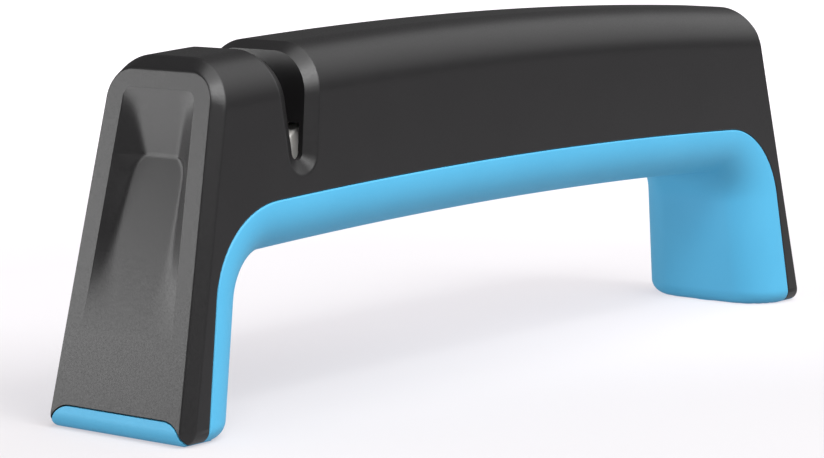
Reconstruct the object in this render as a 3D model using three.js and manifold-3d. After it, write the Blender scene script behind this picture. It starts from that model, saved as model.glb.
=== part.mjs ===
// Hand-held axe sharpener: an arched plastic housing with a tapered blade slot near its left
// end, closed from below by a rounded liner that covers the grip and the two feet. A cradle
// inside holds two fixed axles with interleaved ceramic wheels, whose rims cross at the
// bottom of the slot. X runs along the handle, Y across it, Z up from the feet.
import * as THREE from "three";
import { mergeVertices } from "three/addons/utils/BufferGeometryUtils.js";
import Module from "manifold-3d";

const wasm = await Module();
wasm.setup();

// Driving dimensions, in millimetres and degrees.
// Outer body
const LENGTH = 200;
const WIDTH = 33.5;
const HEIGHT = 66.5;
const END_LEAN = 12.4;
const SIDE_DRAFT = 3.2;
const TOP_SAG = 2.6;
const TOP_FILLET = 9.2;
const END_CHAMFER_ACROSS = 1.6;
const END_CHAMFER_TOP = 2.2;
const END_CHAMFER_ALONG = 2.2;
const END_CORNER = 5.4;
const FOOT_EDGE_RADIUS = 3;
const HOUSING_WALL = 2.4;

// Seam between the housing and the liner: two leaning legs, round corners and a crowned top
const HOUSING_DEPTH = 25.8;
const LEG_STRIP = 6;
const SEAM_LEAN = 9.2;
const SEAM_CORNER = 18;
const SEAM_CROWN_RADIUS = 1650;
const SEAM_GAP = 0.3;

// Liner
const LINER_DEPTH = 9.3;
const LINER_WALL = 2.4;
const FOOT_HEIGHT = 4.1;
const CHEEK_TIP = 0.9;
const TONGUE_HEIGHT = 2.5;
const TONGUE_THICKNESS = 1.2;

// Thumb scoop in the left end face, measured up the face and from its middle
const SCOOP_TOP = 5.5;
const SCOOP_FOOT = 16.9;
const SCOOP_END = 45.4;
const SCOOP_DEPTH = 3.1;
const SCOOP_TOP_HALF = 7.6;
const SCOOP_FOOT_HALF = 4.9;
const SCOOP_END_HALF = 10;
const SCOOP_BACKING = 1.8;

// Blade slot and its funnel rim
const SLOT_FROM_END = 33.9;
const SLOT_FOOT_HALF = 1.4;
const SLOT_TAPER = 7.6;
const FUNNEL_SPREAD = 2.5;
const FUNNEL_DEPTH = 1.4;
const SLOT_WALL = 2;

// Wheels on their axles
const WHEEL_RADIUS = 7.6;
const WHEEL_GAP = 0.6;
const WHEELS_PER_AXLE = 3;
const WHEEL_EDGE = 0.3;
const VEE_HALF_ANGLE = 15.5;
const AXLE_RADIUS = 1.5;
const RUNNING_GAP = 0.1;
const SLEEVE_RADIUS = 2.6;
const SIDE_PLAY = 0.2;

// Cradle and its screws
const CRADLE_FLOOR = 1.8;
const CRADLE_CHEEK = 1.5;
const CRADLE_CLEARANCE = 0.43;
const CRADLE_MARGIN = 2;
const WHEEL_ROOM = 0.5;
const CHEEK_HUMP = 3.4;
const LUG_RADIUS = 2.8;
const LUG_HEIGHT = 5.1;
const BOSS_RADIUS = 2.6;
const CRADLE_SCREW_ACROSS = 5;
const CRADLE_SCREW_SHANK = 1;
const CRADLE_SCREW_HEAD = 1.9;
const CRADLE_SCREW_HEAD_HEIGHT = 1.6;
const CRADLE_SCREW_BITE = 4;
const HEAD_SINK = 0.8;

// Foot screws, one under each leg
const FOOT_SCREW_FROM_END = 9;
const FOOT_SCREW_SHANK = 1.5;
const FOOT_SCREW_HEAD = 3;
const FOOT_SCREW_HEAD_HEIGHT = 2.2;
const FOOT_SCREW_BITE = 11;
const FOOT_SEAT = 2.4;
const FOOT_BOSS_RADIUS = 3.2;
const FOOT_BOSS_HEIGHT = 26;
const SCREW_CLEARANCE = 0.3;

// Stiffening ribs across the inside of the handle
const RIB_THICKNESS = 1.6;
const RIB_PITCH = 38;
const RIB_COUNT = 3;

// How finely round shapes are cut into flats
const FILLET_STEPS = 6;
const CORNER_STEPS = 6;
const CROWN_STEPS = 8;
const BODY_STATIONS = 8;
const ROUND_SIDES = 20;
const WHEEL_SIDES = 36;
const SCREW_SIDES = 12;

// Cutting shapes run this far past the faces that they open
const OVERCUT = 3;

// Worked-out values
const tan = (degrees) => Math.tan(THREE.MathUtils.degToRad(degrees));
const sin = (degrees) => Math.sin(THREE.MathUtils.degToRad(degrees));
const cos = (degrees) => Math.cos(THREE.MathUtils.degToRad(degrees));
const halfLength = LENGTH / 2;
const halfWidthAt = (z) => WIDTH / 2 - z * tan(SIDE_DRAFT);
const endFaceAt = (z) => -halfLength + z * tan(END_LEAN);
const seamHeight = HEIGHT - HOUSING_DEPTH;
const seamHalfSpan = halfLength - LEG_STRIP;
const crownCentre = seamHeight - SEAM_CROWN_RADIUS;
const slotX = -halfLength + SLOT_FROM_END;
const endTop = HEIGHT - TOP_SAG;
const slotShare = slotX / (halfLength - END_CHAMFER_ALONG - endTop * tan(END_LEAN));

// The wheel set stands on the liner's crowned floor, which is highest under the cradle's inner
// end. Its height above that floor sets the height of the vee.
const axleReach = WHEEL_RADIUS * cos(VEE_HALF_ANGLE);
const cradleHalf = axleReach + WHEEL_RADIUS + CRADLE_MARGIN;
const screwReach = axleReach + WHEEL_RADIUS + WHEEL_ROOM + BOSS_RADIUS + SCREW_CLEARANCE;
const seamAt = (x) => crownCentre + Math.sqrt(SEAM_CROWN_RADIUS ** 2 - x * x);
const cradleInnerEnd = slotX + screwReach + LUG_RADIUS;
const cradleBase = seamAt(cradleInnerEnd) - LINER_DEPTH + LINER_WALL + SEAM_GAP;
const axleZ = cradleBase + CRADLE_FLOOR + WHEEL_ROOM + WHEEL_RADIUS;
const veeZ = axleZ + WHEEL_RADIUS * sin(VEE_HALF_ANGLE);

// The cradle fills the width between the housing's walls, and the wheels share its inside
const cheekOuter = halfWidthAt(axleZ + CHEEK_HUMP) - HOUSING_WALL - CRADLE_CLEARANCE;
const cheekInner = cheekOuter - CRADLE_CHEEK;
const wheelSlots = 2 * WHEELS_PER_AXLE;
const wheelPitch = (2 * (cheekInner - WHEEL_ROOM) + WHEEL_GAP) / wheelSlots;
const wheelThickness = wheelPitch - WHEEL_GAP;
const lugTop = cradleBase + LUG_HEIGHT;
const slotRoundZ = veeZ - SIDE_PLAY + SLOT_FOOT_HALF;
const slotHalfAt = (z) => SLOT_FOOT_HALF + Math.max(0, z - slotRoundZ) * tan(SLOT_TAPER);
const wheelTop = axleZ + WHEEL_RADIUS;
const footScrewX = halfLength - FOOT_SCREW_FROM_END;
const footSeatZ = HEAD_SINK + FOOT_SCREW_HEAD_HEIGHT;
const footPadTop = footSeatZ + FOOT_SEAT;

// Closed triangle meshes to solids and back

function solid(points, triangles) {
  const vertices = points.map((p) => new THREE.Vector3(...p));
  const volume = triangles.reduce(
    (sum, [a, b, c]) => sum + vertices[a].dot(vertices[b].clone().cross(vertices[c])), 0);
  const outward = volume > 0 ? triangles : triangles.map(([a, b, c]) => [a, c, b]);
  return new wasm.Manifold(new wasm.Mesh({
    numProp: 3,
    vertProperties: new Float32Array(points.flat()),
    triVerts: new Uint32Array(outward.flat()),
  }));
}

function solidOf(geometry) {
  const bare = geometry.clone();
  bare.deleteAttribute("normal");
  bare.deleteAttribute("uv");
  const merged = mergeVertices(bare, 1e-4);
  const at = merged.getAttribute("position");
  const points = [];
  for (let i = 0; i < at.count; i += 1) points.push([at.getX(i), at.getY(i), at.getZ(i)]);
  const index = merged.getIndex().array;
  const triangles = [];
  for (let i = 0; i < index.length; i += 3) {
    const corner = [index[i], index[i + 1], index[i + 2]];
    if (new Set(corner).size === 3) triangles.push(corner);
  }
  return solid(points, triangles);
}

function geometryOf(body) {
  const mesh = body.getMesh();
  const stride = mesh.numProp;
  const positions = [];
  for (let i = 0; i < mesh.vertProperties.length; i += stride) {
    positions.push(...mesh.vertProperties.slice(i, i + 3));
  }
  const geometry = new THREE.BufferGeometry();
  geometry.setAttribute("position", new THREE.Float32BufferAttribute(positions, 3));
  geometry.setIndex([...mesh.triVerts]);
  const flat = geometry.toNonIndexed();
  flat.computeVertexNormals();
  return flat;
}

// Triangles over a flat ring, wound the same way as the ring
function capTriangles(ring) {
  const normal = [0, 0, 0];
  ring.forEach((p, i) => {
    const q = ring[(i + 1) % ring.length];
    for (let k = 0; k < 3; k += 1) {
      const m = (k + 1) % 3;
      const n = (k + 2) % 3;
      normal[k] += (p[m] - q[m]) * (p[n] + q[n]);
    }
  });
  const size = normal.map(Math.abs);
  const drop = size.indexOf(Math.max(...size));
  const flat = ring.map((p) => new THREE.Vector2(p[(drop + 1) % 3], p[(drop + 2) % 3]));
  const winding = Math.sign(THREE.ShapeUtils.area(flat));
  return THREE.ShapeUtils.triangulateShape(flat, []).map(([a, b, c]) => {
    const same = Math.sign(THREE.ShapeUtils.area([flat[a], flat[b], flat[c]])) === winding;
    return same ? [a, b, c] : [a, c, b];
  });
}

// A skin over rings of equally many points, with a flat cap on the first and last ring
function loft(rings) {
  const count = rings[0].length;
  const last = (rings.length - 1) * count;
  const triangles = capTriangles(rings[0]).map(([a, b, c]) => [a, c, b]);
  for (let r = 0; r + 1 < rings.length; r += 1) {
    for (let i = 0; i < count; i += 1) {
      const j = (i + 1) % count;
      const a = r * count;
      const b = a + count;
      triangles.push([a + i, a + j, b + j], [a + i, b + j, b + i]);
    }
  }
  triangles.push(...capTriangles(rings.at(-1)).map((corner) => corner.map((i) => last + i)));
  return solid(rings.flat(), triangles);
}

// Simple solids placed by their limits

function box(x0, x1, y0, y1, z0, z1) {
  const geometry = new THREE.BoxGeometry(x1 - x0, y1 - y0, z1 - z0);
  return solidOf(geometry.translate((x0 + x1) / 2, (y0 + y1) / 2, (z0 + z1) / 2));
}

function cylinderZ(x, y, radius, z0, z1, sides = SCREW_SIDES) {
  const geometry = new THREE.CylinderGeometry(radius, radius, z1 - z0, sides);
  return solidOf(geometry.rotateX(Math.PI / 2).translate(x, y, (z0 + z1) / 2));
}

function cylinderY(x, z, radius, y0, y1, sides = ROUND_SIDES) {
  const geometry = new THREE.CylinderGeometry(radius, radius, y1 - y0, sides);
  return solidOf(geometry.translate(x, (y0 + y1) / 2, z));
}

// An outline in X and Z, carried straight across the body from y0 to y1
function acrossBody(outline, y0, y1) {
  const shape = new THREE.Shape(outline.map(([x, z]) => new THREE.Vector2(x, z)));
  const geometry = new THREE.ExtrudeGeometry(shape, { depth: y1 - y0, bevelEnabled: false });
  return solidOf(geometry.rotateX(Math.PI / 2).translate(0, y1, 0));
}

// An outline in Y and Z, carried along the body from x0 to x1
function alongBody(outline, x0, x1) {
  const ringAt = (x) => outline.map(([y, z]) => [x, y, z]);
  return loft([ringAt(x0), ringAt(x1)]);
}

function joinAll(bodies) {
  return bodies.reduce((whole, body) => whole.add(body));
}

// Outer body: a drafted block with a filleted, slightly crowned top and leaning end faces

// Half of the cross-section over the near side and top, as points with their outward normals
function topOutline(top, inset, radius) {
  const filletZ = top - radius;
  const centreY = halfWidthAt(filletZ) - inset - radius;
  const points = [];
  for (let i = 0; i <= FILLET_STEPS; i += 1) {
    const turn = (90 * i) / FILLET_STEPS;
    points.push({
      y: -centreY - radius * cos(turn),
      z: filletZ + radius * sin(turn),
      ny: -cos(turn),
      nz: sin(turn),
    });
  }
  return points;
}

function bodyRing(u, pull, inset, drop, radius, bottom) {
  const half = topOutline(HEIGHT - TOP_SAG * u * u - drop, inset, radius);
  const near = [[-(halfWidthAt(bottom) - inset), bottom], ...half.map((p) => [p.y, p.z])];
  const far = near.map(([y, z]) => [-y, z]).reverse();
  const xAt = (z) => u * (halfLength - pull - z * tan(END_LEAN));
  return [...near, ...far].map(([y, z]) => [xAt(z), y, z]);
}

function bodyBlock(inset, bottom) {
  const pull = inset / cos(END_LEAN);
  const shoulder = pull + END_CHAMFER_ALONG;
  const across = inset + END_CHAMFER_ACROSS;
  const endRing = (u) => bodyRing(u, pull, across, inset + END_CHAMFER_TOP, END_CORNER - inset, bottom);
  const rings = [endRing(-1)];
  for (let i = 0; i <= BODY_STATIONS; i += 1) {
    const u = (2 * i) / BODY_STATIONS - 1;
    rings.push(bodyRing(u, shoulder, inset, inset, TOP_FILLET - inset, bottom));
  }
  rings.push(endRing(1));
  return loft(rings);
}

// What is taken off the outer bottom edge of each foot to leave it round
function footEdgeCut(side) {
  const centreX = halfLength - FOOT_EDGE_RADIUS;
  const outline = [[halfLength + OVERCUT, FOOT_EDGE_RADIUS], [halfLength + OVERCUT, -OVERCUT]];
  outline.push([centreX, -OVERCUT]);
  for (let i = 0; i <= CORNER_STEPS; i += 1) {
    const turn = (90 * i) / CORNER_STEPS;
    const z = FOOT_EDGE_RADIUS * (1 - cos(turn));
    outline.push([centreX + FOOT_EDGE_RADIUS * sin(turn) - z * tan(END_LEAN), z]);
  }
  return acrossBody(outline.map(([x, z]) => [side * x, z]), -WIDTH, WIDTH);
}

const outerBlock = bodyBlock(0, 0).subtract(footEdgeCut(-1)).subtract(footEdgeCut(1));
const cavity = bodyBlock(HOUSING_WALL, -OVERCUT);

// Seam path from the left foot over the handle to the right foot, with normals that point
// out of the finger gap. The corner arcs touch the leg lines and the crown's circle.
function seamPath() {
  const lean = tan(SEAM_LEAN);
  const startX = -seamHalfSpan + SEAM_CORNER / cos(SEAM_LEAN);
  const reach = SEAM_CROWN_RADIUS - SEAM_CORNER;
  const a = 1 + lean * lean;
  const b = lean * startX - crownCentre;
  const c = startX * startX + crownCentre * crownCentre - reach * reach;
  const cornerZ = (-b + Math.sqrt(b * b - a * c)) / a;
  const cornerX = startX + cornerZ * lean;
  const crownTurn = THREE.MathUtils.radToDeg(Math.atan2(cornerZ - crownCentre, cornerX));
  const legTurn = 180 - SEAM_LEAN;
  const below = FOOT_HEIGHT + LINER_DEPTH;
  const left = [{
    x: -seamHalfSpan - below * lean, z: -below, nx: cos(legTurn), nz: sin(legTurn),
  }];
  for (let i = 0; i <= CORNER_STEPS; i += 1) {
    const turn = legTurn + ((crownTurn - legTurn) * i) / CORNER_STEPS;
    left.push({
      x: cornerX + SEAM_CORNER * cos(turn),
      z: cornerZ + SEAM_CORNER * sin(turn),
      nx: cos(turn),
      nz: sin(turn),
    });
  }
  const crown = [];
  for (let i = 1; i < CROWN_STEPS; i += 1) {
    const turn = crownTurn + ((180 - 2 * crownTurn) * i) / CROWN_STEPS;
    crown.push({
      x: SEAM_CROWN_RADIUS * cos(turn),
      z: crownCentre + SEAM_CROWN_RADIUS * sin(turn),
      nx: cos(turn),
      nz: sin(turn),
    });
  }
  const right = left.map((p) => ({ ...p, x: -p.x, nx: -p.nx })).reverse();
  return [...left, ...crown, ...right];
}

const seam = seamPath();
const offSeam = (p, inward) => [p.x - p.nx * inward, p.z - p.nz * inward];

// Everything on the finger gap's side of the seam
const belowSeam = acrossBody(seam.map((p) => offSeam(p, 0)), -WIDTH, WIDTH);

// Liner: a channel with round lower edges that follows the seam

function linerBlock(inset, start) {
  const radius = LINER_DEPTH - inset;
  const rings = seam.map((p) => {
    const near = [];
    const place = (inward, shrink) => {
      const [x, z] = offSeam(p, inward);
      near.push([x, -(halfWidthAt(Math.max(z, 0)) - inset) + shrink, z]);
    };
    if (start < 0) place(start, 0);
    for (let i = 0; i <= FILLET_STEPS; i += 1) {
      const turn = (90 * i) / FILLET_STEPS;
      place(Math.max(start, radius * sin(turn)), radius * (1 - cos(turn)));
    }
    const far = near.map(([x, y, z]) => [x, -y, z]).reverse();
    return [...near, ...far];
  });
  return loft(rings);
}

// A foot's end-on shape: flat on the floor, with the upper corners rounded into the cheeks
function footSection(grow) {
  const half = WIDTH / 2 - CHEEK_TIP - FOOT_HEIGHT;
  const radius = FOOT_HEIGHT + grow;
  const near = [[-half - radius, -OVERCUT]];
  for (let i = 0; i <= CORNER_STEPS; i += 1) {
    const turn = (90 * i) / CORNER_STEPS;
    near.push([-half - radius * cos(turn), radius * sin(turn)]);
  }
  return [...near, ...near.map(([y, z]) => [-y, z]).reverse()];
}

function footPlate(side, grow) {
  const inner = side * (seamHalfSpan - LINER_WALL);
  const outer = side * (halfLength + OVERCUT);
  const plate = alongBody(footSection(grow), Math.min(inner, outer), Math.max(inner, outer));
  return grow > 0 ? plate : plate.intersect(outerBlock);
}

// Two upright tongues that locate the liner between the housing's side walls
function tongue(side) {
  const outer = HOUSING_WALL + SEAM_GAP;
  const inner = outer + TONGUE_THICKNESS;
  const from = slotX + screwReach + BOSS_RADIUS + OVERCUT;
  const to = seamHalfSpan - SEAM_CORNER - LINER_DEPTH;
  const rings = [];
  for (let i = 0; i <= CROWN_STEPS; i += 1) {
    const x = from + ((to - from) * i) / CROWN_STEPS;
    const top = seamAt(x) + TONGUE_HEIGHT;
    const bottom = top - TONGUE_HEIGHT - LINER_DEPTH / 2;
    const face = (z, inset) => [x, side * (halfWidthAt(z) - inset), z];
    rings.push([face(bottom, outer), face(bottom, inner), face(top, inner), face(top, outer)]);
  }
  const linerInside = linerBlock(LINER_WALL / 2, -TONGUE_HEIGHT - OVERCUT);
  return loft(rings).intersect(linerInside);
}

function makeLiner() {
  const floorLine = box(-LENGTH, LENGTH, -WIDTH, WIDTH, 0, HEIGHT);
  const shell = linerBlock(0, SEAM_GAP).subtract(linerBlock(LINER_WALL, -OVERCUT));
  let liner = shell.intersect(floorLine).add(tongue(-1)).add(tongue(1));
  const wells = [];
  for (const side of [-1, 1]) {
    const x = side * footScrewX;
    const pad = cylinderZ(x, 0, FOOT_SCREW_HEAD + LINER_WALL, 0, footPadTop).intersect(outerBlock);
    const inLeg = linerBlock(0, SEAM_GAP).intersect(footFloor(side));
    liner = liner.add(footPlate(side, 0)).add(inLeg).add(pad);
    wells.push(cylinderZ(x, 0, FOOT_SCREW_HEAD + SCREW_CLEARANCE, -OVERCUT, footSeatZ));
    wells.push(cylinderZ(x, 0, FOOT_SCREW_SHANK + SCREW_CLEARANCE, -OVERCUT, footPadTop + OVERCUT));
  }
  return liner.subtract(joinAll(wells));
}

// The height of a foot's floor, over the whole leg
function footFloor(side) {
  const x0 = side > 0 ? 0 : -LENGTH;
  return box(x0, x0 + LENGTH, -WIDTH, WIDTH, 0, FOOT_HEIGHT);
}

// Blade slot

function slotOutline(grow) {
  const top = HEIGHT + OVERCUT;
  const radius = SLOT_FOOT_HALF + grow;
  const outline = [];
  for (let i = 0; i <= CORNER_STEPS; i += 1) {
    const turn = 180 + (180 * i) / CORNER_STEPS;
    outline.push([slotX + radius * cos(turn), slotRoundZ + radius * sin(turn)]);
  }
  outline.push([slotX + slotHalfAt(top) + grow, top], [slotX - slotHalfAt(top) - grow, top]);
  return outline;
}

// The funnel is swept over the body's outline: narrow at its depth, wide past the surface.
const funnelLift = FUNNEL_DEPTH / 2;
const funnelLip = (FUNNEL_SPREAD * (FUNNEL_DEPTH + funnelLift)) / FUNNEL_DEPTH;

function funnelSweep() {
  const half = topOutline(HEIGHT - TOP_SAG * slotShare ** 2, 0, TOP_FILLET);
  const foot = { y: -halfWidthAt(slotRoundZ), z: slotRoundZ, ny: -cos(SIDE_DRAFT), nz: sin(SIDE_DRAFT) };
  const near = [foot, ...half];
  const far = near.map((p) => ({ ...p, y: -p.y, ny: -p.ny })).reverse();
  const rings = [...near, ...far].map((p) => {
    const inY = p.y - p.ny * FUNNEL_DEPTH;
    const inZ = p.z - p.nz * FUNNEL_DEPTH;
    const outY = p.y + p.ny * funnelLift;
    const outZ = p.z + p.nz * funnelLift;
    const inner = slotHalfAt(inZ);
    const outer = slotHalfAt(p.z) + funnelLip;
    return [
      [slotX - inner, inY, inZ], [slotX - outer, outY, outZ],
      [slotX + outer, outY, outZ], [slotX + inner, inY, inZ],
    ];
  });
  return loft(rings);
}

// The round end of the funnel at the bottom of the slot on one side
function funnelEnd(side) {
  const ringAt = (radius, lift) => {
    const ring = [];
    for (let i = 0; i < ROUND_SIDES; i += 1) {
      const turn = (360 * i) / ROUND_SIDES;
      const z = slotRoundZ + radius * sin(turn);
      ring.push([slotX + radius * cos(turn), side * (halfWidthAt(z) + lift), z]);
    }
    return ring;
  };
  const inner = ringAt(SLOT_FOOT_HALF, -FUNNEL_DEPTH);
  const outer = ringAt(SLOT_FOOT_HALF + funnelLip, funnelLift);
  return loft([inner, outer]);
}

function slotCut() {
  const through = acrossBody(slotOutline(0), -WIDTH, WIDTH);
  return joinAll([through, funnelSweep(), funnelEnd(-1), funnelEnd(1)]);
}

// The slot's own two walls, which hang from the top as far as the wheels
function slotWalls() {
  const bottom = wheelTop + WHEEL_ROOM;
  const top = HEIGHT + OVERCUT;
  const outline = [
    [slotX - slotHalfAt(bottom) - SLOT_WALL, bottom], [slotX + slotHalfAt(bottom) + SLOT_WALL, bottom],
    [slotX + slotHalfAt(top) + SLOT_WALL, top], [slotX - slotHalfAt(top) - SLOT_WALL, top],
  ];
  return acrossBody(outline, -WIDTH, WIDTH).intersect(outerBlock);
}

// Thumb scoop: a ramp at the top, sloping side walls and a floor that rises to the face

function scoop(grow) {
  const height = (fromTop) => endTop - fromTop;
  const point = (y, fromTop, depth) => {
    const z = height(fromTop);
    return [endFaceAt(z) + depth / cos(END_LEAN), y, z];
  };
  const outside = -OVERCUT;
  const corners = [];
  for (const side of [-1, 1]) {
    corners.push(
      point(side * (SCOOP_TOP_HALF + grow), SCOOP_TOP - grow, grow),
      point(side * (SCOOP_FOOT_HALF + grow), SCOOP_FOOT, SCOOP_DEPTH + grow),
      point(side * (SCOOP_END_HALF + grow), SCOOP_END + grow, grow),
      point(side * (SCOOP_TOP_HALF + grow), SCOOP_TOP - grow, outside),
      point(side * (SCOOP_END_HALF + grow), SCOOP_END + grow, outside),
    );
  }
  const triangles = [
    [0, 1, 6], [0, 6, 5], [1, 2, 7], [1, 7, 6], [2, 4, 9], [2, 9, 7],
    [3, 0, 5], [3, 5, 8], [4, 3, 8], [4, 8, 9],
    [0, 3, 4], [0, 4, 2], [0, 2, 1], [5, 9, 8], [5, 7, 9], [5, 6, 7],
  ];
  return solid(corners, triangles);
}

// Upper housing with its inner walls, ribs and screw bosses

function cradleScrewPlaces() {
  const places = [];
  for (const alongSide of [-1, 1]) {
    for (const acrossSide of [-1, 1]) {
      places.push([slotX + alongSide * screwReach, acrossSide * CRADLE_SCREW_ACROSS]);
    }
  }
  return places;
}

function crossRib(x, bottom) {
  const half = RIB_THICKNESS / 2;
  return box(x - half, x + half, -WIDTH, WIDTH, bottom, HEIGHT + OVERCUT).intersect(outerBlock);
}

function makeHousing() {
  const bossFoot = lugTop + SEAM_GAP;
  const pilotTop = bossFoot + CRADLE_SCREW_BITE + SCREW_CLEARANCE;
  const ribFoot = seamHeight + TONGUE_HEIGHT + 2 * SEAM_GAP;
  const inside = [slotWalls(), scoop(SCOOP_BACKING).intersect(outerBlock)];
  const holes = [slotCut(), scoop(0)];
  for (const [x, y] of cradleScrewPlaces()) {
    inside.push(cylinderZ(x, y, BOSS_RADIUS, bossFoot, HEIGHT).intersect(outerBlock));
    holes.push(cylinderZ(x, y, CRADLE_SCREW_SHANK + SCREW_CLEARANCE, bossFoot - OVERCUT, pilotTop));
  }
  inside.push(crossRib(slotX + screwReach, wheelTop));
  for (let i = 0; i < RIB_COUNT; i += 1) {
    inside.push(crossRib((i - (RIB_COUNT - 1) / 2) * RIB_PITCH + RIB_PITCH / 2, ribFoot));
  }
  const legPilotTop = footPadTop + SEAM_GAP + FOOT_SCREW_BITE + SCREW_CLEARANCE;
  for (const side of [-1, 1]) {
    const x = side * footScrewX;
    const foot = footPadTop + SEAM_GAP;
    inside.push(cylinderZ(x, 0, FOOT_BOSS_RADIUS, foot, FOOT_BOSS_HEIGHT).intersect(outerBlock));
    holes.push(cylinderZ(x, 0, FOOT_SCREW_SHANK + SCREW_CLEARANCE, -OVERCUT, legPilotTop));
    holes.push(footPlate(side, SEAM_GAP));
  }
  const shell = outerBlock.subtract(belowSeam).subtract(cavity);
  return joinAll([shell, ...inside]).subtract(joinAll(holes));
}

// Cradle that carries the axles, seated on the liner's floor and screwed up into the housing

function cradleSection(half, radius, base, top) {
  const near = [[-half, top]];
  for (let i = 0; i <= CORNER_STEPS; i += 1) {
    const turn = (90 * i) / CORNER_STEPS;
    near.push([-half + radius * (1 - cos(turn)), base + radius * (1 - sin(turn))]);
  }
  return [...near, ...near.map(([y, z]) => [-y, z]).reverse()];
}

function makeCradle() {
  const corner = LINER_DEPTH - LINER_WALL - SEAM_GAP;
  const reach = screwReach + LUG_RADIUS;
  const section = cradleSection(cheekOuter, corner, cradleBase, Math.max(lugTop, axleZ));
  const bed = alongBody(section, slotX - reach, slotX + reach);
  const bedX = cradleHalf;
  const plan = [box(slotX - bedX, slotX + bedX, -WIDTH, WIDTH, cradleBase, lugTop)];
  const cuts = [];
  for (const [x, y] of cradleScrewPlaces()) {
    plan.push(cylinderZ(x, y, LUG_RADIUS, cradleBase, lugTop));
    const headTop = cradleBase + HEAD_SINK + CRADLE_SCREW_HEAD_HEIGHT;
    cuts.push(cylinderZ(x, y, CRADLE_SCREW_HEAD + SCREW_CLEARANCE, cradleBase - OVERCUT, headTop));
    cuts.push(cylinderZ(x, y, CRADLE_SCREW_SHANK + SCREW_CLEARANCE, cradleBase, lugTop + OVERCUT));
  }
  let cradle = bed.intersect(joinAll(plan));
  for (const side of [-1, 1]) {
    const y0 = side > 0 ? cheekInner : -cheekOuter;
    const y1 = y0 + CRADLE_CHEEK;
    const web = box(slotX - axleReach, slotX + axleReach, y0, y1, lugTop - CRADLE_FLOOR, axleZ);
    cradle = cradle.add(web);
    for (const axleX of [slotX - axleReach, slotX + axleReach]) {
      cradle = cradle.add(cylinderY(axleX, axleZ, CHEEK_HUMP, y0, y1));
      const leg = box(axleX - CHEEK_HUMP, axleX + CHEEK_HUMP, y0, y1, lugTop - CRADLE_FLOOR, axleZ);
      cradle = cradle.add(leg);
    }
  }
  for (const axleX of [slotX - axleReach, slotX + axleReach]) {
    const room = WHEEL_RADIUS + WHEEL_ROOM;
    cuts.push(cylinderY(axleX, axleZ, room, -cheekInner, cheekInner, WHEEL_SIDES));
    cuts.push(cylinderY(axleX, axleZ, AXLE_RADIUS + RUNNING_GAP, -WIDTH, WIDTH));
  }
  cuts.push(scoop(SCOOP_BACKING + SEAM_GAP));
  return cradle.subtract(joinAll(cuts));
}

// Turned pieces on the axles, made round the Y axis

function turned(profile, sides) {
  return new THREE.LatheGeometry(profile.map(([r, y]) => new THREE.Vector2(r, y)), sides);
}

function grindingWheel() {
  const bore = AXLE_RADIUS + RUNNING_GAP;
  const half = wheelThickness / 2;
  const rim = WHEEL_RADIUS - WHEEL_EDGE;
  const flat = half - WHEEL_EDGE;
  return turned([
    [bore, -half], [rim, -half], [WHEEL_RADIUS, -flat],
    [WHEEL_RADIUS, flat], [rim, half], [bore, half], [bore, -half],
  ], WHEEL_SIDES);
}

function sleeve(length) {
  const bore = AXLE_RADIUS + RUNNING_GAP;
  const half = length / 2;
  return turned([
    [bore, -half], [SLEEVE_RADIUS, -half], [SLEEVE_RADIUS, half], [bore, half], [bore, -half],
  ], ROUND_SIDES);
}

function axlePin() {
  const half = cheekOuter;
  const edge = AXLE_RADIUS / 4;
  return turned([
    [0, -half], [AXLE_RADIUS - edge, -half], [AXLE_RADIUS, -half + edge],
    [AXLE_RADIUS, half - edge], [AXLE_RADIUS - edge, half], [0, half],
  ], ROUND_SIDES);
}

// A screw that points up, with its head's underside at z = 0 and a six-sided drive recess
function screw(shank, head, headHeight, length) {
  const point = shank / 2;
  const dome = headHeight / 4;
  const blank = turned([
    [0, -headHeight], [head - dome, -headHeight], [head, -headHeight + dome], [head, 0],
    [shank, 0], [shank, length - point], [point, length], [0, length],
  ], SCREW_SIDES);
  const drive = cylinderZ(0, 0, head / 2, -headHeight - OVERCUT, -headHeight / 2, 6);
  return solidOf(blank.rotateX(Math.PI / 2)).subtract(drive);
}

// Materials, and the assembly of named pieces

const plastic = (color, roughness) =>
  new THREE.MeshStandardMaterial({ color, roughness, metalness: 0 });
const blackPolyamide = plastic("#2f2d2f", 0.55);
const bluePolymer = plastic("#4fb2e2", 0.6);
const greyAcetal = plastic("#8f9294", 0.5);
const whiteAcetal = plastic("#e4e2dc", 0.45);
const whiteCeramic = plastic("#efece4", 0.7);
const steel = new THREE.MeshStandardMaterial({ color: "#b9bcc0", roughness: 0.3, metalness: 1 });

const sharpener = new THREE.Group();

function addPiece(name, shape, material) {
  const geometry = shape.isBufferGeometry ? shape : geometryOf(shape);
  const mesh = new THREE.Mesh(geometry, material);
  mesh.name = name;
  sharpener.add(mesh);
  return mesh;
}

addPiece("upper_housing", makeHousing(), blackPolyamide);
addPiece("inner_liner", makeLiner(), bluePolymer);
addPiece("wheel_cradle", makeCradle(), greyAcetal);

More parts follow.
